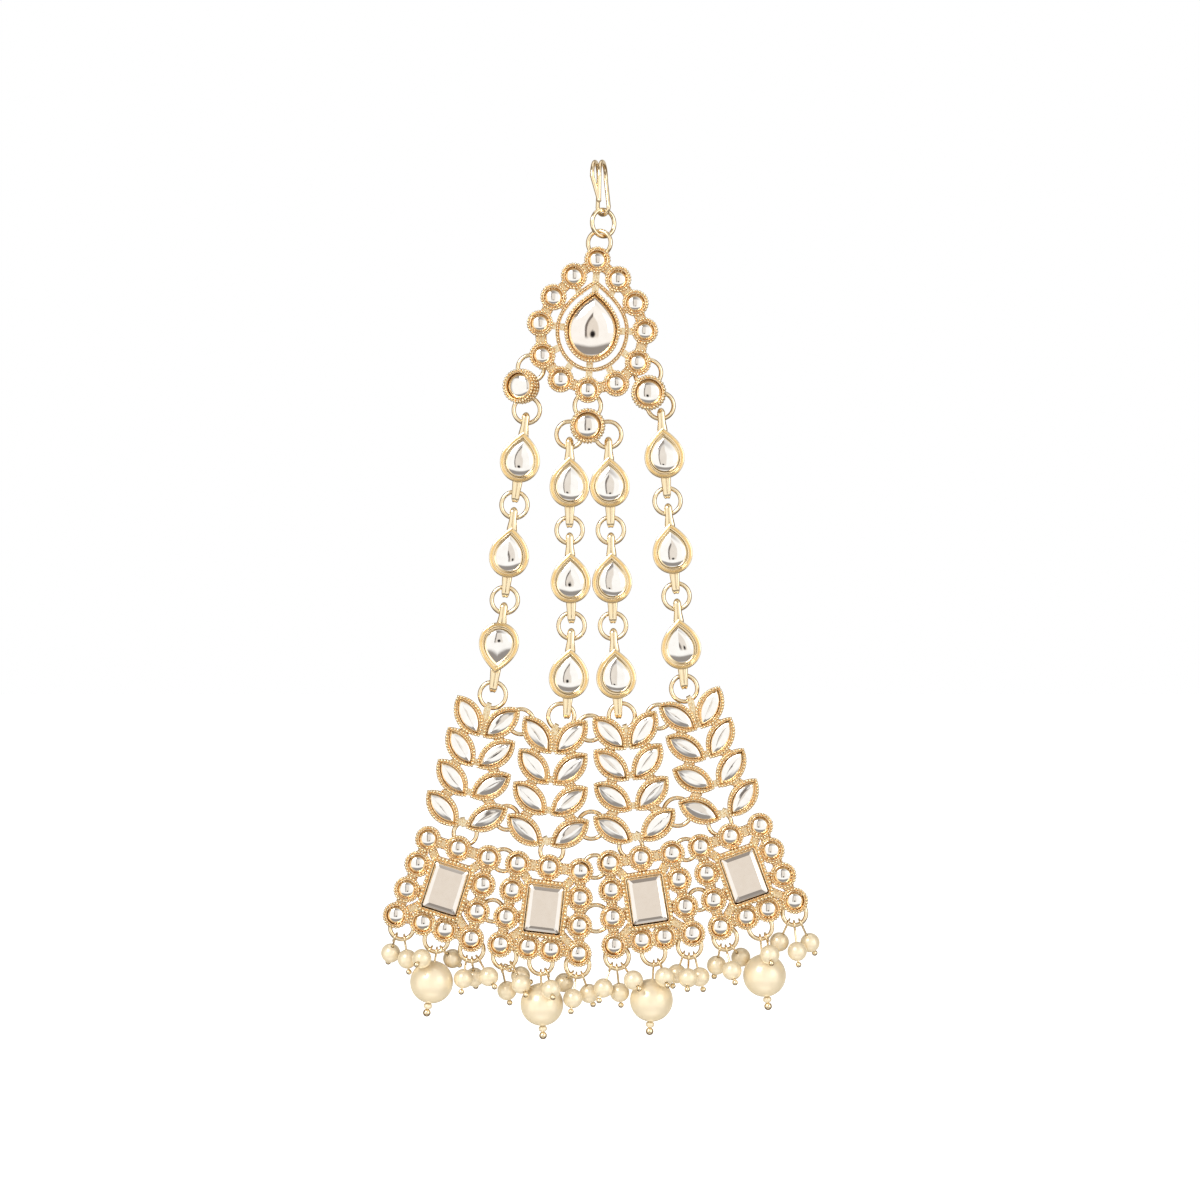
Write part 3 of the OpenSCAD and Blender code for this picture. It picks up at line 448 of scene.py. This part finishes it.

# Webs between settings, in mm: their levels as share of the width, height and depth of painted
# shade, the share and height of their beads, and the half widths at the ends and in the middle of
# each kind
WEB_LEVELS = ((1, 0.35, 1), (1, 1.1, 1), (0.9, 1.26, 0.3))
WEB_BEADS = (0.84, 1.22)
WEB_STEPS = 8
COLLET_WEB = (1.9, 1.0)
LEAF_WEB = (1.3, 0.95)
SPOKE_WEB = (1.1, 0.8)
# Middles of collets nearer than this are neighbours, and a web joins them
CROWN_REACH = 6.4 * MM
PLAQUE_REACH = 6.3 * MM
# Each collet nearer than this to the core of the flat setting is joined to the core
SPOKE_REACH = 6.6 * MM
CORE = (2.6 * MM, 3.6 * MM)


def edge_path(group, at, outline, grow, height):
    """Keeps a closed line for milgrain, at a growth and height in mm."""
    paths[group].append([at @ Vector((x, y, height * MM)) for x, y in outline(grow * MM)])


def web(group, bm, at, p, q, half_widths):
    """A grained web from p to q in the plane at, wide where it meets the settings, with beads
    along its edges. half_widths are those of its ends and its waist, in mm."""
    ends, waist = (half * MM for half in half_widths)
    way = (q - p).normalized()
    side = Vector((-way.y, way.x, 0))
    shares = [i / WEB_STEPS for i in range(WEB_STEPS + 1)]
    widths = [waist + (ends - waist) * (2 * t - 1) ** 2 for t in shares]
    edge = [p.lerp(q, t) + side * w for t, w in zip(shares, widths)]
    edge += [p.lerp(q, t) - side * w for t, w in reversed(list(zip(shares, widths)))]
    half_way = (p + q) / 2

    def level(share, height):
        return [half_way + (e - half_way) * share + Vector((0, 0, height * MM)) for e in edge]
    # The third column of each level sets the painted shade of the plating there
    loft(bm, at, [level(share, height) for share, height, _ in WEB_LEVELS],
         painted_shade=[depth for _, _, depth in WEB_LEVELS])
    paths[group].append([at @ point for point in level(*WEB_BEADS)])


def webs_between(group, bm, seats, reach):
    """Webs between all neighbouring round seats of one casting."""
    plane = seats[0]
    into_plane = plane.inverted()
    spots = [into_plane @ at.translation for at in seats]
    for i, p in enumerate(spots):
        for q in spots[i + 1:]:
            if (p - q).length < reach:
                web(group, bm, plane, p, q, COLLET_WEB)


def collets(group, bm, seats, reach):
    """The round settings of a casting, and the webs that join them."""
    outline = round_outline(COLLET_STONE_R)
    for at in seats:
        setting(bm, at, outline, COLLET_RIM)
        edge_path(group, at, outline, *COLLET_BEADS)
    webs_between(group, bm, seats, reach)


def crown_rims():
    """Twelve collets round a pear setting in an open frame."""
    bm = bmesh.new()
    collets("crown", bm, CROWN_SEATS, CROWN_REACH)
    pear = pear_outline(*PEAR_SIZE)
    setting(bm, CROWN_PEAR, pear, PEAR_RIM)
    edge_path("crown", CROWN_PEAR, pear, *PEAR_BEADS)
    setting(bm, CROWN_PEAR, pear, FRAME_BAND, closed=True)
    edge_path("crown", CROWN_PEAR, pear, *BAND_BEADS)
    piece("crown_rims", bm, "cast_gold")


def stud_rims():
    """The three studs, with beads round their walls as well."""
    bm = bmesh.new()
    outline = round_outline(STUD_STONE_R, STUD_SIDES)
    for at in STUD_SEATS:
        setting(bm, at, outline, STUD_RIM)
        for row in STUD_BEADS:
            edge_path("studs", at, outline, *row)
    piece("stud_rims", bm, "cast_gold")


def panel_side(at):
    """Positive for the leaves that point up to the right of their panel."""
    return (at.to_3x3() @ Vector((1, 0, 0))).x


def leaf_rims():
    """Eight leaves in each panel. In each of its two columns a web joins one leaf to the next."""
    bm = bmesh.new()
    outline = leaf_outline(*LEAF_SIZE)
    plane = place(0, PLATE_Y, 0)
    into_plane = plane.inverted()
    half = LEAF_SIZE[0] / 2
    for seats in LEAF_SEATS:
        for at in seats:
            setting(bm, at, outline, LEAF_RIM)
            edge_path("leaves", at, outline, *LEAF_BEADS)
        for side in (-1, 1):
            column = [at for at in seats if side * panel_side(at) > 0]
            column.sort(key=lambda at: -at.translation.z)
            for upper, lower in zip(column, column[1:]):
                p = into_plane @ (upper @ Vector((-half, 0, 0)))
                q = into_plane @ (lower @ Vector((half, 0, 0)))
                web("leaves", bm, plane, p, q, LEAF_WEB)
    piece("leaf_rims", bm, "cast_gold")


def plaque_rims():
    """Eleven collets round a flat setting in each plaque, with webs between all of them."""
    bm = bmesh.new()
    flat = flat_outline(*FLAT_SIZE)
    for seats, centre in zip(PLAQUE_SEATS, FLAT_SEATS):
        collets("plaques", bm, seats, PLAQUE_REACH)
        for at in seats:
            outer = centre.inverted() @ at.translation
            inner = Vector([max(-1, min(1, value / limit)) * limit
                            for value, limit in zip(outer, CORE)] + [0])
            if (outer - inner).length < SPOKE_REACH:
                web("plaques", bm, centre, outer, inner, SPOKE_WEB)
        setting(bm, centre, flat, FLAT_RIM)
        edge_path("centres", centre, flat, *FLAT_BEADS)
    piece("plaque_rims", bm, "cast_gold")


def milgrain_tree():
    """Beads at an even pitch along closed lines."""
    tree = bpy.data.node_groups.new("milgrain", "GeometryNodeTree")
    for name, kind, way in (("Lines", "NodeSocketGeometry", "INPUT"),
                            ("Pitch", "NodeSocketFloat", "INPUT"),
                            ("Bead radius", "NodeSocketFloat", "INPUT"),
                            ("Metal", "NodeSocketMaterial", "INPUT"),
                            ("Beads", "NodeSocketGeometry", "OUTPUT")):
        tree.interface.new_socket(name, in_out=way, socket_type=kind)
    given = add(tree, "NodeGroupInput").outputs
    line = add(tree, "GeometryNodeMeshToCurve", links={"Mesh": given["Lines"]})
    even = add(tree, "GeometryNodeResampleCurve",
               links={"Curve": line.outputs["Curve"], "Length": given["Pitch"]}, mode="LENGTH")
    bead = add(tree, "GeometryNodeMeshUVSphere", {"Segments": 7, "Rings": 4},
               {"Radius": given["Bead radius"]})
    soft = add(tree, "GeometryNodeSetShadeSmooth", links={"Geometry": bead.outputs["Mesh"]})
    row = add(tree, "GeometryNodeInstanceOnPoints",
              links={"Points": even.outputs["Curve"], "Instance": soft.outputs["Geometry"]})
    real = add(tree, "GeometryNodeRealizeInstances", links={"Geometry": row.outputs["Instances"]})
    metal = add(tree, "GeometryNodeSetMaterial",
                links={"Geometry": real.outputs["Geometry"], "Material": given["Metal"]})
    add(tree, "NodeGroupOutput", links={0: metal.outputs["Geometry"]})
    return tree


def milgrain(tree, group):
    """Rows of beads along the kept lines of a casting."""
    bm = bmesh.new()
    for loop in paths[group]:
        verts = [bm.verts.new(p) for p in loop]
        for i, v in enumerate(verts):
            bm.edges.new((v, verts[(i + 1) % len(verts)]))
    mesh = bpy.data.meshes.new(group + "_lines")
    bm.to_mesh(mesh)
    bm.free()
    lines = bpy.data.objects.new(group + "_lines", mesh)
    bpy.context.scene.collection.objects.link(lines)
    modifier = lines.modifiers.new("milgrain", "NODES")
    modifier.node_group = tree
    pitch, radius = MILGRAIN[group]
    values = {"Pitch": pitch * MM, "Bead radius": radius * MM, "Metal": BY_SLOT["cast_gold"]}
    for item in tree.interface.items_tree:
        if item.in_out == "INPUT" and item.name in values:
            modifier[item.identifier] = values[item.name]
    bpy.context.view_layer.update()
    beads = bpy.data.meshes.new_from_object(
        lines.evaluated_get(bpy.context.evaluated_depsgraph_get()))
    beads.name = group + "_milgrain"
    bpy.data.objects.remove(lines)
    hang(bpy.data.objects.new(group + "_milgrain", beads))


# A bail is a strap with two turns, one inside the edge of the link and one round the ring wire.
# This is how far past the edge the middles of its turns lie
BAIL_START = -0.3 * MM
BAIL_END = 2.84 * MM
# Radius of the turns at height 0 of the sections
BAIL_R = 0.76 * MM
BAIL_STEPS = 10
# The outer turn is narrower by this share in its middle, and the inner one wider by this factor
OUTER_NARROWING = 0.3
INNER_WIDTH = 1.3
# Sections across a strap as place and height in mm
PLAIN_STRAP = ((-0.75, -0.15), (-0.68, 0.06), (-0.48, 0.2), (-0.24, 0.28), (0, 0.3),
               (0.24, 0.28), (0.48, 0.2), (0.68, 0.06), (0.75, -0.15), (0.6, -0.22),
               (-0.6, -0.22))
GROOVED_STRAP = ((-0.75, -0.15), (-0.72, 0.08), (-0.6, 0.24), (-0.46, 0.27), (-0.3, 0.2),
                 (0, 0.17), (0.3, 0.2), (0.46, 0.27), (0.6, 0.24), (0.72, 0.08),
                 (0.75, -0.15), (0.6, -0.22), (-0.6, -0.22))
# Section and width half way between the turns, of the bails above and below a link
UPPER_BAIL = (PLAIN_STRAP, 0.98)
LOWER_BAIL = (GROOVED_STRAP, 1.15)
# Growth of a link's outline where its bails come out
LINK_GROWTH = 0.95 * MM


def bail(bm, at, edge, end, section, waist):
    """A bail at the upper (end 1) or lower (end -1) edge of a link, at the distance edge."""
    near, far = edge + BAIL_START, edge + BAIL_END
    arc = [math.pi * i / BAIL_STEPS for i in range(BAIL_STEPS + 1)]
    path = [(far, a, 1 - OUTER_NARROWING * math.sin(a) ** 3) for a in arc]
    path.append(((near + far) / 2, math.pi, waist))
    path += [(near, math.pi + a, INNER_WIDTH) for a in arc]
    path.append(((near + far) / 2, 2 * math.pi, waist))
    rings = []
    for along, a, width in path:
        ring = []
        for x, t in section:
            radius = BAIL_R + t * MM
            ring.append((width * x * MM, end * (along + radius * math.sin(a)),
                         LINK_Y - HANG_Y + radius * math.cos(a)))
        rings.append(ring)
    loft(bm, at, rings, closed=True)


RING_NODES = ["upper_ring", "lower_ring", "crown_rings", "leaf_side_rings", "panel_plaque_rings",
              "plaque_side_rings", "fringe_rings"] + [f"strand_rings_{k}" for k in STRANDS]
# No slit is narrower than this
MIN_SLIT = math.radians(1)
# The pressed ends are a little thinner than the wire, so that the joint shows as a fine line
END_SHARE = 0.985
# They reach from inside one end of the wire to inside the other, here as shares of the slit
END_SPAN = (-0.2, 0.5, 1.2)
END_SIDES = 24


def fitted_ring(corners):
    """Centre, radius, wire radius, slit (start and angle) and axes of a jump ring."""
    points = np.array(corners)
    mean = points.mean(0)
    axes = np.linalg.svd(points - mean, full_matrices=False)[2]
    flat = (points - mean) @ axes[:2].T
    fit = np.linalg.lstsq(np.c_[2 * flat, np.ones(len(flat))], (flat ** 2).sum(1), rcond=None)
    centre = fit[0][:2]
    flat -= centre
    reach = np.hypot(*flat.T)
    angles = np.sort(np.arctan2(flat[:, 1], flat[:, 0]))
    gaps = np.diff(np.r_[angles, angles[0] + 2 * math.pi])
    # The slit is narrower than the steps of the ring's mesh, and equal angles leave gaps of zero
    gaps[gaps < MIN_SLIT] = math.inf
    return (Vector(mean + centre @ axes[:2]), (reach.max() + reach.min()) / 2,
            (reach.max() - reach.min()) / 2, (angles[gaps.argmin()], gaps.min()),
            [Vector(a) for a in axes])


def ring_ends():
    """The ends of each jump ring, pressed together."""
    bm = bmesh.new()
    for corners in (c for node in RING_NODES for c in solids_of(node)):
        centre, ring_r, wire_r, (start, gap), (across, up, out) = fitted_ring(corners)
        end_r = END_SHARE * wire_r
        rings = []
        for share in END_SPAN:
            a = start + share * gap
            away = math.cos(a) * across + math.sin(a) * up
            turns = [2 * math.pi * i / END_SIDES for i in range(END_SIDES)]
            rings.append([centre + away * (ring_r + end_r * math.cos(t))
                          + out * end_r * math.sin(t) for t in turns])
        loft(bm, Matrix.Identity(4), rings)
    piece("ring_ends", bm, "polished_gold", smooth=60)


def pear_links():
    """Links with a grooved rim and a bail at each end."""
    point = LINK_SIZE[1] + TIP_GROWTH * LINK_GROWTH
    foot = LINK_SIZE[2] + LINK_GROWTH
    for k, seats in zip(STRANDS, LINK_SEATS):
        bm = bmesh.new()
        for at in seats:
            setting(bm, at, pear_outline(*LINK_SIZE), LINK_RIM)
            points_up = (at.to_3x3() @ Vector((0, 1, 0))).z > 0
            at_point, at_foot = (UPPER_BAIL, LOWER_BAIL) if points_up else (LOWER_BAIL, UPPER_BAIL)
            bail(bm, at, point, 1, *at_point)
            bail(bm, at, foot, -1, *at_foot)
        piece(f"pear_links_{k}", bm, "polished_gold", replaces=(f"strand_links_{k}",))


# Smooth forms of moulded stones, from the back to just below the top. The dome of round and pear
# stones holds shares of the outline and of the rise. The ridge of the leaves holds shares along
# the leaf, across it and of the rise
DOME = ((1, 0), (1, 0.44), (0.955, 0.58), (0.885, 0.69), (0.785, 0.79), (0.66, 0.87),
        (0.52, 0.93), (0.36, 0.97), (0.18, 0.993))
RIDGE = ((1, 1, 0), (1, 1, 0.66), (0.975, 0.93, 0.76), (0.93, 0.8, 0.83), (0.87, 0.55, 0.89),
         (0.81, 0.3, 0.95), (0.77, 0.1, 0.995))
# A flat stone's table and bevels, as shares of its width and height, and height in mm
BEVELS = ((0.99, 0.99, 1.2), (0.99, 0.99, 2.55), (0.86, 0.885, 2.8), (0.73, 0.78, 2.95))
# Back and top of each kind of stone above the back of its setting, in mm
ROUND_STONE = (0.66, 1.95)
STUD_STONE = (1.66, 3.0)
LINK_STONE = (1.42, 3.0)
CROWN_STONE = (1.32, 4.0)
LEAF_BACK, LEAF_RISE = 0.68, 1.38
# The most that each kind of stone is off its plane, in degrees
ROUND_SLACK, STUD_SLACK, LINK_SLACK, LEAF_SLACK = 5, 3, 8, 4


def domed(bm, at, points, low, high):
    """A moulded stone with a smooth dome, from low at its back to high in the middle, in mm."""
    rows = [[bm.verts.new(at @ Vector((x * share, y * share, (low + rise * (high - low)) * MM)))
             for x, y in points] for share, rise in DOME]
    for a, b in zip(rows, rows[1:]):
        for i in range(len(a)):
            j = (i + 1) % len(a)
            bm.faces.new((a[i], a[j], b[j], b[i]))
    bm.faces.new(rows[0])
    top = bm.verts.new(at @ Vector((0, 0, high * MM)))
    for i in range(len(points)):
        bm.faces.new((rows[-1][i], rows[-1][(i + 1) % len(points)], top))


def stepped(bm, at, points, rows):
    """A stone whose rows each have their own share of its length and width, and height in mm."""
    loft(bm, at, [[(x * share_x, y * share_y, height * MM) for x, y in points]
                  for share_x, share_y, height in rows])


def settled(at, draw, most):
    """The plane of a stone that sits a little unevenly in its seat."""
    about_x, about_y = (draw.uniform(-most, most) for _ in range(2))
    return at @ turned(about_x, "X") @ turned(about_y, "Y")


def round_stones():
    """Domed stones in the collets and studs."""
    draw = random.Random(7)
    outline = round_outline(COLLET_STONE_R)(0)
    groups = [("crown_round_stones", CROWN_SEATS)]
    groups += [(f"plaque_round_stones_{k}", seats) for k, seats in zip(STRANDS, PLAQUE_SEATS)]
    for node, seats in groups:
        bm = bmesh.new()
        for at in seats:
            domed(bm, settled(at, draw, ROUND_SLACK), outline, *ROUND_STONE)
        piece(node.replace("round", "domed_round"), bm, "foiled_glass", replaces=(node,))
    bm = bmesh.new()
    for at in STUD_SEATS:
        domed(bm, settled(at, draw, STUD_SLACK), round_outline(STUD_STONE_R, STUD_SIDES)(0),
              *STUD_STONE)
    piece("domed_stud_stones", bm, "foiled_glass", replaces=("stud_stones",))


def pear_stones():
    """Domed stones in the links and the crown."""
    draw = random.Random(12)
    for k, seats in zip(STRANDS, LINK_SEATS):
        bm = bmesh.new()
        for at in seats:
            domed(bm, settled(at, draw, LINK_SLACK), pear_outline(*LINK_SIZE)(0), *LINK_STONE)
        piece(f"domed_pear_stones_{k}", bm, "foiled_glass", replaces=(f"strand_stones_{k}",))
    bm = bmesh.new()
    domed(bm, CROWN_PEAR @ turned(PEAR_LEAN, "X"), pear_outline(*PEAR_SIZE, steps=28)(0),
          *CROWN_STONE)
    piece("domed_crown_pear", bm, "mirror_glass", replaces=("crown_pear_stone",))


def leaf_stones():
    """Ridged stones in the leaves."""
    points = leaf_outline(*LEAF_SIZE)(0)
    rows = [(along, across, LEAF_BACK + up * LEAF_RISE) for along, across, up in RIDGE]
    draw = random.Random(5)
    for k, seats in zip(STRANDS, LEAF_SEATS):
        bm = bmesh.new()
        for at in seats:
            stepped(bm, settled(at, draw, LEAF_SLACK), points, rows)
        piece(f"ridged_leaf_stones_{k}", bm, "foiled_glass", replaces=(f"leaf_stones_{k}",))


def flat_stones():
    """Bevelled stones in the plaques."""
    points = flat_outline(*FLAT_SIZE, corner=FLAT_STONE_CORNER, steps=1)(0)
    for k, at in zip(STRANDS, FLAT_SEATS):
        bm = bmesh.new()
        stepped(bm, at @ turned(FLAT_LEAN, "X"), points, BEVELS)
        piece(f"bevelled_flat_stone_{k}", bm, "mirror_glass",
              replaces=(f"plaque_centre_stone_{k}",), smooth=0)


# Section of a seed bead, from its upper hole over its side to its lower hole: radius in mm, and
# height as share of half the bead
SEED_BEAD = ((0.26, -0.84), (0.5, -0.97), (0.76, -0.6), (0.84, 0), (0.76, 0.6), (0.5, 0.97),
             (0.26, 0.84))
SEED_SIDES = 20
# The pin of a large pearl is straight below it, so a step to the side counts this many times more
SIDEWAYS = 9


def seed_beads():
    """A seed bead on the pin under each large pearl."""
    bm = bmesh.new()
    for k in STRANDS:
        low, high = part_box(f"large_pearl_{k}")
        pearl = (low + high) / 2
        ends = [min(c, key=lambda p: p.z) for c in solids_of(f"headpins_{k}")]
        end = min(ends, key=lambda p: (p - pearl).length + SIDEWAYS * abs(p.x - pearl.x))
        ball = end + Vector((0, 0, BALL_R))
        way = (ball - pearl).normalized()
        above, below = LARGE_PEARL_R, (ball - pearl).length - BALL_R
        at = Matrix.Translation(pearl + way * (above + below) / 2)
        at = at @ way.to_track_quat("Z", "Y").to_matrix().to_4x4()
        turns = [2 * math.pi * i / SEED_SIDES for i in range(SEED_SIDES)]
        rings = [[(r * MM * math.cos(t), r * MM * math.sin(t), h * (below - above) / 2)
                  for t in turns] for r, h in SEED_BEAD]
        loft(bm, at, rings, closed=True)
    piece("seed_beads", bm, "pearl", smooth=60)


FLOOR_SIZE = 8
FLOOR_Z = -0.215
# The middle of the piece, at which the lamps aim
AIM = Vector((0, 0, -0.085))
# Name, place, size and power in watts of each lamp
LAMPS = (("key", (-0.5, -0.7, 0.5), 0.4, 4.5), ("fill", (0.7, -0.6, 0.1), 0.5, 1.0),
         ("top", (0.0, 0.1, 0.8), 0.8, 1.5))


def floor_and_light():
    """A pale floor, which glows a little so that its edge doesn't show, and three soft lamps."""
    mat, out = new_material("pale_floor")
    tree = mat.node_tree
    shader = add(tree, "ShaderNodeBsdfPrincipled",
                 {"Base Color": linear("#FBFBFA"), "Roughness": 0.9,
                  "Emission Color": (1, 1, 1, 1), "Emission Strength": 0.5})
    tree.links.new(shader.outputs["BSDF"], out.inputs["Surface"])
    bpy.ops.mesh.primitive_plane_add(size=FLOOR_SIZE, location=(0, 0, FLOOR_Z))
    floor = bpy.context.object
    floor.name = "floor"
    floor.data.materials.append(mat)
    floor.visible_glossy = False
    for name, spot, size, power in LAMPS:
        data = bpy.data.lights.new(name, "AREA")
        data.size = size
        data.energy = power
        lamp = bpy.data.objects.new(name, data)
        lamp.location = spot
        lamp.rotation_euler = (AIM - Vector(spot)).to_track_quat("-Z", "Y").to_euler()
        bpy.context.scene.collection.objects.link(lamp)


# What the metal and the stones mirror, painted over a white room. Each shape has a colour, a
# strength, and its fades: a measure of the mirrored direction, the value at which the shape is
# full, and the value at which it has gone
WHITE_ROOM = (1.08, 1.07, 1.05)
ROOM = (
    # The dark room at the sides of the white front, and a grey screen behind
    ((0.2, 0.14, 0.09), 1, (("y", 0.02, -0.42),)),
    ((0.6, 0.55, 0.48), 1, (("y", 0.75, 0.45),)),
    # The edge of the ceiling, darker on the left
    ((0.22, 0.18, 0.15), 0.85, (("z", 0.54, 0.4), ("x", -0.1, 0.7))),
    # The table below
    ((0.14, 0.11, 0.09), 0.8, (("z", -0.5, -0.36), ("z", -0.78, -0.92))),
    # The left edge of an upright stand behind the lens
    ((0.2, 0.17, 0.15), 1, (("x", -0.18, -0.21), ("x", -0.13, -0.09), ("z", 0.42, 0.5),
                            ("z", -0.16, -0.24), ("y", -0.35, -0.05))),
    # Its warm face
    ((0.86, 0.8, 0.73), 1, (("x", -0.12, -0.15), ("x", 0.13, 0.17), ("z", 0.42, 0.5),
                             ("z", -0.16, -0.24), ("y", -0.35, -0.05))),
    # The lens
    ((0.015, 0.012, 0.012), 1, (("from the lens", 0.035, 0.085),)),
)
LENS_WAY = (0, -0.99, -0.14)
# Strength of the white world as light on the piece
WORLD_LIGHT = 0.66


def studio_world():
    """A white world. Only reflections see the painted room."""
    world = bpy.data.worlds.new("studio")
    bpy.context.scene.world = world
    world.use_nodes = True
    tree = world.node_tree
    tree.nodes.clear()
    way = add(tree, "ShaderNodeTexCoord").outputs["Generated"]
    part = add(tree, "ShaderNodeSeparateXYZ", links={0: way}).outputs
    lens = add(tree, "ShaderNodeVectorMath", {1: LENS_WAY}, {0: way}, operation="DISTANCE")
    measures = {"x": part["X"], "y": part["Y"], "z": part["Z"],
                "from the lens": lens.outputs["Value"]}
    under = {MIX_A: (*WHITE_ROOM, 1)}
    links = {}
    for colour, strength, fades in ROOM:
        mask = {}
        for measure, full, gone in fades:
            step = add(tree, "ShaderNodeMapRange",
                       {"From Min": gone, "From Max": full, "To Min": 0, "To Max": strength},
                       {"Value": measures[measure], **mask}, interpolation_type="SMOOTHSTEP")
            mask = {"To Max": step.outputs["Result"]}
        painted = add(tree, "ShaderNodeMix", {**under, MIX_B: (*colour, 1)},
                      {MIX_FACTOR: step.outputs["Result"], **links}, data_type="RGBA")
        under, links = {}, {MIX_A: painted.outputs[MIX_RESULT]}
    seen = add(tree, "ShaderNodeBackground", {"Strength": 1},
               {"Color": painted.outputs[MIX_RESULT]})
    plain = add(tree, "ShaderNodeBackground", {"Color": (1, 1, 1, 1), "Strength": WORLD_LIGHT})
    bright = add(tree, "ShaderNodeBackground", {"Color": (1, 1, 1, 1), "Strength": 1})
    ray = add(tree, "ShaderNodeLightPath").outputs
    backdrop = add(tree, "ShaderNodeMixShader",
                   links={0: ray["Is Camera Ray"], 1: plain.outputs[0], 2: bright.outputs[0]})
    mixed = add(tree, "ShaderNodeMixShader",
                links={0: ray["Is Glossy Ray"], 1: backdrop.outputs[0], 2: seen.outputs[0]})
    add(tree, "ShaderNodeOutputWorld", links={"Surface": mixed.outputs[0]})


# The photograph is 1200 px wide and high, and shows the frame's origin at this pixel
PX = 0.19 * MM
PHOTO_PX = 1200
ORIGIN_PX = (599, 164)
# Focal length and sensor width in mm
LENS = 100
SENSOR = 36


def camera():
    """A camera straight before the piece, which frames it as the photograph does."""
    data = bpy.data.cameras.new("camera")
    data.lens = LENS
    data.sensor_width = SENSOR
    view = bpy.data.objects.new("camera", data)
    distance = LENS / SENSOR * PHOTO_PX * PX
    view.location = ((PHOTO_PX / 2 - ORIGIN_PX[0]) * PX, -distance,
                     (ORIGIN_PX[1] - PHOTO_PX / 2) * PX)
    view.rotation_euler = (math.radians(90), 0, 0)
    bpy.context.scene.collection.objects.link(view)
    bpy.context.scene.camera = view


camera()
studio_world()
floor_and_light()
dress_frame()
crown_rims()
stud_rims()
leaf_rims()
plaque_rims()
bead_rows = milgrain_tree()
for casting in MILGRAIN:
    milgrain(bead_rows, casting)
pear_links()
ring_ends()
round_stones()
pear_stones()
leaf_stones()
flat_stones()
seed_beads()
bpy.context.scene.view_settings.view_transform = "Standard"
